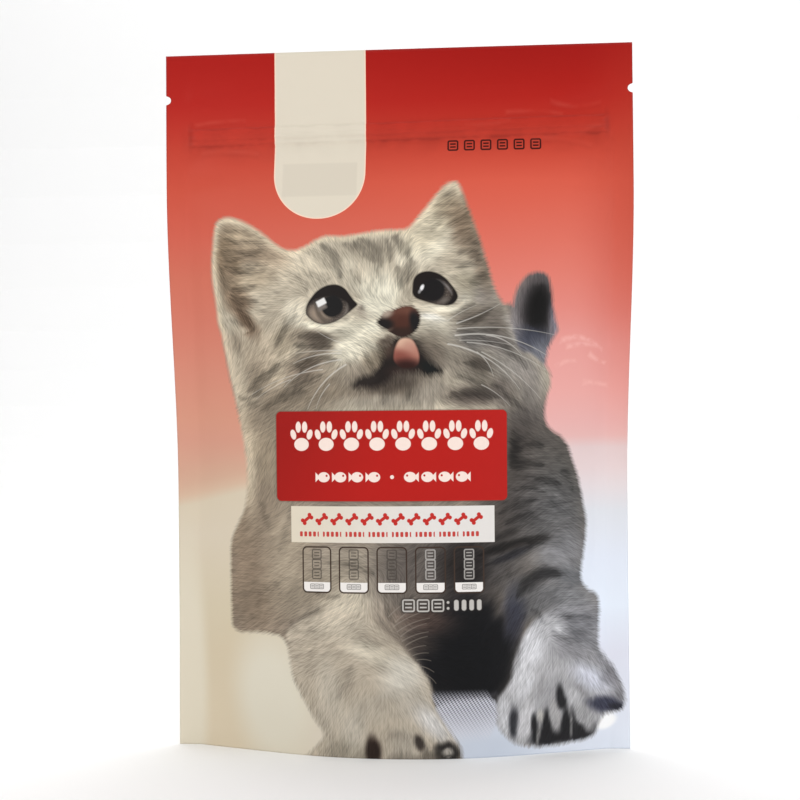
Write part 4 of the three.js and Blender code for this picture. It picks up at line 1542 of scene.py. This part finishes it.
def paint_face(c):
    """Cheeks, muzzle and chin, round where the features go."""
    c.blobs(
        ("8f8270", (-52, 128), (22, 14), 0, 1.0), ("c8b8a0", (-66, 136), (6, 14), 12, 0.9),
        ("b9ae9b", (-52, 182), (14, 18), 0, 0.9), ("c9bda8", (-48, 203), (10, 6), -20, 0.8),
        ("a89b88", (-60, 168), (10, 12), 20, 0.9), ("8d806f", (-57, 156), (10, 9), 40, 0.8),
        ("b7aa95", (-48, 160), (7, 6), 40, 0.8), ("c0b39e", (-70, 156), (4, 13), 14, 0.9),
        ("827565", (-50, 146), (16, 6), 30, 0.8), ("847868", (-30, 150), (18, 7), 20, 0.9),
        ("7d7062", (-37, 161), (9, 6), 30, 0.95), ("d4ccb9", (-42, 184), (5, 6), 30, 0.9),
        ("a1947f", (-47, 172), (5, 5), 30, 0.7), ("dfdac6", (-32, 177.4), (9, 2.2), -12, 0.9),
        ("72675b", (-33, 172.4), (8, 4), -14, 1.0, 0.6), ("a3988a", (-23, 176), (4, 3), -20, 0.6),
        ("8d8272", (-41, 174), (4, 5), 30, 0.7), ("d2ccb9", (-16, 174.6), (10, 6), -14, 1.0),
        ("d9d3c0", (-19, 167), (6, 6), 0, 0.95), ("958b7c", (-17, 158), (7, 5), 20, 0.9),
        ("e0dbc8", (-9, 177.5), (4, 2.6), -20, 0.9), ("dfdac7", (-17, 196.5), (8, 2.4), -38, 0.6),
        ("ddd8c6", (-9, 187), (5, 4), -50, 0.8), ("958a7d", (-13.8, 184), (1.6, 2.4), 20, 0.9),
        ("4a3f39", (-13.2, 185.6), (1.0, 0.9), 0, 0.9),
    )
    # right of the nose
    c.blobs(
        ("8b857b", (40, 170), (16, 18), 0, 0.95), ("c9c3b3", (16, 179.6), (8, 3), -10, 1.0),
        ("e3e0d6", (16.5, 181.2), (4.5, 1.3), -12, 0.9), ("b5ae9e", (18, 174.4), (8, 3), -8, 0.9),
        ("cec8b6", (21, 184.6), (10, 1.5), -4, 0.9), ("c6c0b0", (29.6, 189.4), (3.2, 3), 30, 0.8),
        ("99917f", (31, 195), (6, 4), -36, 0.9), ("86807a", (38, 190), (5, 4), -40, 0.8),
        ("70675d", (34, 181), (8, 4.4), 12, 0.9), ("6b635b", (42, 178), (5, 7), 0, 0.8),
        ("76726f", (33, 172), (8, 4), -4, 0.8), ("635d5a", (44, 170), (6, 4), -20, 0.7),
        ("847c70", (22, 164), (6, 7), 14, 0.9), ("6c6359", (35, 161.6), (7, 4), -14, 0.9),
        ("8b867f", (47, 161), (7, 6), -40, 0.7), ("766e63", (36, 155), (9, 4), -20, 0.7),
        ("564d47", (33, 148), (11, 4), 0, 0.9), ("68605a", (45, 150), (6, 6), -40, 0.8),
        ("8b857f", (55, 158), (6, 9), 30, 0.9), ("77716b", (57, 147), (6, 8), 10, 0.9),
        ("9a9590", (49, 178), (2.2, 8), 8, 0.6), ("5d5752", (53, 138), (9, 7), -30, 1.0),
    )
    # chin and lips
    c.blobs(
        ("71675b", (2, 151), (18, 6), 0, 0.95), ("928a7e", (15, 150), (8, 5), 20, 0.8),
        ("9a9285", (-4, 146), (18, 2.6), 0, 0.7), ("4f463e", (-4, 153.5), (9, 3), 0, 0.7),
        ("3b332e", (1, 158), (13, 5), 12, 0.85, 1.0), ("3f3731", (12, 167), (3.4, 6), 24, 0.9),
        ("5d544b", (17, 166), (3.6, 5), 30, 0.8), ("766c60", (16, 172), (5, 3), -20, 0.6),
        ("4b4139", (-3, 166), (3.6, 6), -24, 0.9), ("746959", (-8, 163.6), (4, 6), -30, 0.7),
        ("40362f", (-3, 171.4), (3.2, 1.6), 20, 0.7),
    )
    c.strokes(
        -1,
        (3.0, 0.7, (-41, 184), (-45.6, 179.6), (-48.6, 174.6), (-52, 168)),
        (4.0, 0.85, (-63, 152), (-57, 156.6), (-50, 162)),
        (3.4, 0.7, (-62, 149), (-55, 152.4), (-48, 155)),
        (4.4, 0.85, (-48, 154.6), (-40, 160.6), (-31, 163.4)),
        (4.0, 0.8, (-48, 148.6), (-40, 154), (-31, 158)),
        (3.4, 0.8, (-38, 163.6), (-31, 164.8), (-25, 163.6)),
        (3.0, 0.8, (-42, 170.4), (-34, 169.4), (-27, 170)),
        (3.6, 0.85, (-40, 174.6), (-33, 173.6), (-27, 171.6)),
        (2.0, 0.5, (-27, 178), (-23, 176), (-19, 175)), (3.4, 0.6, (-58, 143), (-48, 148), (-38, 151)),
        (3.0, 0.5, (-68, 150), (-64, 146), (-60, 145)),
        (3.0, 0.85, (26, 178.6), (33, 180), (40, 184.4)),
        (2.4, 0.6, (24, 182.6), (29, 184.4), (34, 187)),
        (3.0, 0.8, (27, 175), (34, 174.8), (42, 175.6)),
        (3.0, 0.8, (27, 171.6), (34, 171.2), (43, 169.6)),
        (3.4, 0.85, (29, 162.6), (35, 162), (40, 159)), (4.0, 0.9, (24, 148), (34, 150), (43, 147.6)),
        (2.6, 0.7, (40, 154), (47, 148.6), (54, 142)), (3.0, 0.8, (42, 171), (49, 166), (55, 159)),
        (2.6, 0.5, (26, 157), (32, 155), (38, 151)), (2.6, 0.6, (-12, 166.6), (-9, 162), (-7.4, 158)),
        (2.6, 0.6, (-8, 170), (-5, 167), (-4.6, 162)), (2.4, 0.5, (-4, 151), (-4, 148), (-4.6, 145)),
        (2.4, 0.5, (6, 155), (6.6, 150), (6, 146)),
    )
    c.strokes(
        1,
        (2.2, 0.9, (-38, 180), (-34, 177.6), (-29, 176.9), (-23, 178.2), (-17, 182)),
        (2.4, 0.6, (-39.6, 184), (-38, 189), (-33.6, 194.8)),
        (2.0, 0.9, (8, 187), (12, 185), (18, 183.7), (25, 184.4), (29, 188)),
        (4.0, 0.6, (-56, 151.6), (-48, 156), (-41, 159.6)),
        (3.4, 0.5, (-74, 170), (-72, 160), (-69, 148)), (4.0, 0.5, (-58, 178), (-54, 170), (-50, 164)),
        (3.0, 0.6, (-12, 176), (-18, 172), (-24, 170)),
        (2.0, 0.7, (-11, 168), (-8.4, 163), (-6.4, 158.6)),
        (2.0, 0.7, (-14, 165), (-12, 160), (-9, 156)), (2.0, 0.6, (-17, 162), (-15.4, 158), (-13, 155)),
        (2.4, 0.6, (18, 166), (21, 160), (22, 153)), (2.0, 0.5, (48, 184), (49.4, 178), (50.6, 171)),
        (3.0, 0.3, (50, 163), (57, 155), (60, 146)), (2.4, 0.5, (-10, 150), (-9, 147), (-9, 144)),
        (2.4, 0.5, (2, 151), (1.4, 147), (1, 144)), (2.4, 0.5, (12, 154), (13, 149), (12, 145)),
    )


def paint_features(c):
    """What lies inside the nose and the mouth. The shader cuts them out."""
    c.blobs(
        ("5f3a2f", (4, 182.2), (6.4, 4.4), 10, 1.0), ("71493c", (4.6, 184), (4.2, 1.8), 6, 0.7),
        ("4c2c23", (3.2, 178.8), (3.6, 4), 20, 0.9), ("b5a596", (-3.4, 183), (2.7, 1.7), 18, 0.9),
        ("33241f", (3, 174.6), (6, 2.2), 0, 0.95), ("1e1b1b", (-4.4, 178.4), (3.8, 1.9), 4, 1.0, 0.5),
        ("1c1a1b", (8.6, 179.4), (2.2, 4.4), 12, 1.0, 0.5),
        ("6f5c52", (-2.2, 175.8), (1.8, 0.7), 30, 0.6), ("2a2421", (-12, 154.6), (5, 2), 20, 0.9),
        ("4a3b33", (-2.6, 168), (2.6, 3.6), -20, 0.9), ("171a1a", (14.4, 160), (4, 2.6), -30, 0.9),
        ("352723", (4, 158.6), (6, 2.6), 0, 0.8),
    )


def paint_tongue(c):
    """What lies inside the tongue's outline: pale above and dark below."""
    c.blobs(
        ("dcb9a0", (4.8, 171), (4.2, 3), 0, 1.0), ("b98676", (6, 167.8), (3.4, 4), -10, 0.8),
        ("84493f", (3, 164.4), (5, 2.8), -10, 0.9), ("331b18", (5, 160.8), (7, 2.8), 0, 1.0),
    )


FINE_STRANDS, BROAD_STRANDS = (1.25, 7), (2.6, 12)  # their width and length


def paint_kitten(u, v):
    """The kitten's canvas, the signed distances to its edge and its lips, and the fur's direction.

    Shapes are laid through the fur's strands, so that their edges comb out.
    """
    angle = fur_angle(u, v)
    rng = np.random.default_rng(SEED)
    comb = strands(u, v, angle, *FINE_STRANDS, rng) + 0.9 * strands(u, v, angle, *BROAD_STRANDS, rng)
    combed = u + comb * np.cos(angle), v + comb * np.sin(angle)
    c = Canvas(*combed, "8d8275")
    paint_body(c)
    c.u, c.v = u + 0.5 * comb * np.cos(angle), v + 0.5 * comb * np.sin(angle)
    paint_left_arm(c)
    paint_right_leg(c)
    paint_tail(c)
    head = outline_distance(c.u, c.v, HEAD_FRONT)
    face = Canvas(*combed, "bdb3a0")
    paint_face(face)
    paint_forehead(face)
    paint_left_ear(face)
    paint_right_ear(face)
    blend = 0.9 + 3.5 * (1 - smoothstep(v, 140, 160))
    amount = (1 - smoothstep(head / blend, -1, 1)) * smoothstep(v, 112, 138)
    c.colour += (face.colour - c.colour) * amount[..., None]
    c.tone += (face.tone - c.tone) * amount
    edge = outline_distance(u, v, SILHOUETTE)
    rim = np.exp(-((edge + 1.0) / 1.4) ** 2) * smoothstep(v, 150, 180) * (1 - smoothstep(u, 24, 30))
    c.lay("dccdb2", 0.75 * rim)
    c.tone *= smoothstep(-edge, 0, 2.5)
    c.colour *= (1 + 0.05 * comb * hair_strength(u, v) * smoothstep(-edge, 0, 2))[..., None]
    edge = np.minimum(edge, outline_distance(u, v, TAIL))
    return c, edge, outline_distance(c.u, c.v, MOUTH), angle


# ---------------------------------------------------------------- colours laid on the meshes


def ramp(value, *stops):
    """A colour for each value: stops are (value, six hex digits), and colours blend between them."""
    places = [place for place, _ in stops]
    colours = np.array([rgb(text) for _, text in stops])
    return np.stack([np.interp(value, places, colours[:, k]) for k in range(3)], axis=-1)


def paint_backdrop(u, v):
    """The print behind the kitten: red at the top, through coral, to cream or lavender white. Its warm,
    darker left and cool, paler right are partly print and partly painted light.
    """
    slanted = v - 0.22 * (u + 90) * bump(v, 108, 24) * (1 - smoothstep(u, -75, 60))
    left = ramp(slanted, (0, "d8cab1"), (40, "d3c5ab"), (60, "d4c8af"), (90, "d8ccb8"), (104, "d7cab4"),
                (108.5, "d6b8a0"), (113, "d3ad96"), (118, "d3a791"), (124, "d4a18c"), (131, "d59b87"),
                (140, "d69882"), (160, "d58c78"), (180, "d37d6a"), (200, "d1725e"), (220, "d16250"),
                (240, "cc523f"), (256, "c24030"), (275, "b4231b"), (297, "a8140d"))
    right = ramp(v, (0, "e4eaf5"), (40, "e1e3ef"), (60, "e8f0fc"), (80, "e4eaf6"), (100, "e0e2e8"),
                 (110, "e5dbdd"), (118, "e6d3d3"), (126.6, "e3cccb"), (131.6, "e7b8b4"), (137, "e8b2ae"),
                 (150, "eaa9a3"), (170, "e69d96"), (185, "e2897e"), (200, "e07c6d"), (220, "dc6c5a"),
                 (240, "d85c48"), (256, "c23f2e"), (275, "b01e15"), (297, "9e0f09"))
    # blends the warm left into the cool right: partly print and partly painted light
    share = smoothstep(u, -75, 60)[..., None]
    c = Canvas(u, v, "ffffff")
    c.colour = left * (1 - share) + right * share
    c.blob("b8402f", (106, 232), (18, 60), 0, 0.5, 1.0)
    return c


def paint_floor(c):
    """What lies behind the kitten at the front's foot: pale patches, the cloth and a white spot."""
    c.blobs(
        ("ded6c3", (-98, 18), (10, 66), 0, 0.9, 0.35), ("ddd7c6", (-54, 22), (17, 27), 8, 1.0, 0.5),
        ("c9d1de", (34, 2), (22, 12), 0, 0.9), ("b9bac6", (29, 19), (14, 7), 0, 0.9),
        ("ffffff", (90.6, 11.4), (4.6, 2.6), 30, 1.0, 0.3),
    )


def set_colours(piece, name, colours):
    """Stores a colour for each of a piece's points, as linear light."""
    layer = piece.data.color_attributes.new(name, "FLOAT_COLOR", "POINT")
    rgba = np.ones((len(piece.data.vertices), 4), np.float32)
    rgba[:, :3] = to_linear(np.clip(colours, 0, 255) / 255)
    layer.data.foreach_set("color", rgba.ravel())


def set_vectors(piece, name, *columns):
    """Stores three numbers for each of a piece's points."""
    layer = piece.data.attributes.new(name, "FLOAT_VECTOR", "POINT")
    layer.data.foreach_set("vector", np.column_stack(columns).astype(np.float32).ravel())


def print_of(piece):
    """Where a piece's points lie on the print."""
    values = np.empty(len(piece.data.vertices) * 3, np.float32)
    piece.data.attributes["print_mm"].data.foreach_get("vector", values)
    return values.reshape(-1, 3)[:, :2].astype(float).T


def paint_front(front):
    """Lays the kitten's colours on the front, with what the shader needs to cut and comb them."""
    u, v = print_of(front)
    ground = paint_backdrop(u, v)
    paint_floor(ground)
    kitten, edge, lips, angle = paint_kitten(u, v)
    features, tongue = Canvas(u, v, "221c1a"), Canvas(u, v, "b07868")
    paint_features(features)
    paint_tongue(tongue)
    lids = np.minimum(outline_distance(u, v, LEFT_EYE), outline_distance(u, v, RIGHT_EYE))
    nose_edge, tongue_edge = outline_distance(u, v, NOSE), outline_distance(u, v, TONGUE)
    canvases = {"backdrop": ground, "kitten": kitten, "features": features, "tongue": tongue}
    for name, canvas in canvases.items():
        set_colours(front, name, canvas.colour)
    set_vectors(front, "edges", edge, lids, lips)
    set_vectors(front, "small_edges", nose_edge, tongue_edge, hair_strength(u, v))
    set_vectors(front, "fur", np.cos(2 * angle), np.sin(2 * angle), kitten.tone)


# ---------------------------------------------------------------- stage, lights and camera

CAMERA_DISTANCE = 0.65
CAMERA_AZIMUTH, CAMERA_ELEVATION, CAMERA_ROLL = -5.19, -0.62, -0.51
CAMERA_AIM = (0.0004, 0.0, 0.1472)
CAMERA_LENS = 68.6


def make_camera():
    """Looks at the bag's middle from just right of square on."""
    a, e = math.radians(CAMERA_AZIMUTH), math.radians(CAMERA_ELEVATION)
    forward = Vector((math.sin(a) * math.cos(e), math.cos(a) * math.cos(e), -math.sin(e)))
    data = bpy.data.cameras.new("camera")
    data.lens = CAMERA_LENS
    camera = bpy.data.objects.new("camera", data)
    bpy.context.collection.objects.link(camera)
    turn = forward.to_track_quat("-Z", "Y").to_matrix()
    turn = turn @ Matrix.Rotation(math.radians(CAMERA_ROLL), 3, "Z")
    place = Vector(CAMERA_AIM) - forward * CAMERA_DISTANCE
    camera.matrix_world = Matrix.Translation(place) @ turn.to_4x4()
    bpy.context.scene.camera = camera


def make_light(name, place, aim, size, power, colour):
    """A rectangular softbox that faces a point."""
    data = bpy.data.lights.new(name, "AREA")
    data.shape = "RECTANGLE"
    data.size, data.size_y = size
    data.energy = power
    data.color = colour
    light = bpy.data.objects.new(name, data)
    bpy.context.collection.objects.link(light)
    light.location = place
    light.rotation_euler = (Vector(aim) - Vector(place)).to_track_quat("-Z", "Y").to_euler()


def make_lights():
    """Softboxes left, right, low in front and above, and one on the wall."""
    make_light("key_left", (-0.9, -1.1, 0.9), (0, 0, 0.14), (0.9, 0.9), 5.0, (1.0, 0.95, 0.88))
    make_light("fill_right", (1.0, -0.9, 0.5), (0, 0, 0.14), (0.7, 1.0), 3.8, (0.93, 0.96, 1.0))
    make_light("front_low", (0.1, -1.4, 0.1), (0, 0, 0.1), (1.6, 0.5), 1.6, (1.0, 1.0, 1.0))
    make_light("top", (0.0, 0.1, 1.4), (0, 0.1, 0), (1.6, 1.2), 7.0, (1.0, 1.0, 1.0))
    make_light("wall_wash", (0.0, 1.2, 2.1), (0, 1.7, 0), (3.0, 0.8), 26.0, (1.0, 1.0, 1.0))
    world = bpy.data.worlds.new("studio")
    bpy.context.scene.world = world
    world.use_nodes = True
    background = world.node_tree.nodes["Background"]
    background.inputs["Color"].default_value = (1, 1, 1, 1)
    background.inputs["Strength"].default_value = 0.5
    bpy.context.scene.view_settings.view_transform = "Standard"


def make_floor():
    """A pale sweep: flat under the bag, and curving up into a wall far behind it."""
    reach, back, radius = 3.0, 1.6, 0.8
    turn = np.linspace(0, math.pi / 2, 13)
    profile = [(-reach, 0.0)]
    profile += [(back + radius * math.sin(t), radius * (1 - math.cos(t))) for t in turn]
    profile.append((back + radius, 2.6))
    points = [(x, y, z) for y, z in profile for x in (-reach, reach)]
    faces = [(2 * k, 2 * k + 1, 2 * k + 3, 2 * k + 2) for k in range(len(profile) - 1)]
    mesh = bpy.data.meshes.new("sweep")
    mesh.from_pydata(points, [], faces)
    sweep = bpy.data.objects.new("sweep", mesh)
    bpy.context.collection.objects.link(sweep)
    material, tree = new_material("sweep")
    shader = tree.nodes["Principled BSDF"]
    shader.inputs["Base Color"].default_value = (0.93, 0.93, 0.93, 1)
    shader.inputs["Roughness"].default_value = 0.9
    mesh.materials.append(material)


# ---------------------------------------------------------------- the bag


def make_bag():
    """Makes the three films and lets them stand for the CAD's sealed solid."""
    front_sheet, back_sheet = sheet_sampler(-1), sheet_sampler(1)
    front = panel_piece("front_panel", front_sheet, -1, FINE_COLUMNS, PRINT_STEP)
    back = panel_piece("back_panel", back_sheet, 1, BACK_COLUMNS, BACK_STEP)
    gusset = gusset_piece(front_sheet, back_sheet)
    for piece in (back, gusset):
        set_colours(piece, "backdrop", paint_backdrop(*print_of(piece)).colour)
    paint_front(front)
    front.data.materials.append(front_material())
    back.data.materials.append(back_material())
    gusset.data.materials.append(gusset_material())
    for piece in (front, back, gusset):
        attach(piece, "root")
        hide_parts("sealed_pouch")


make_camera()
make_lights()
make_floor()
make_bag()
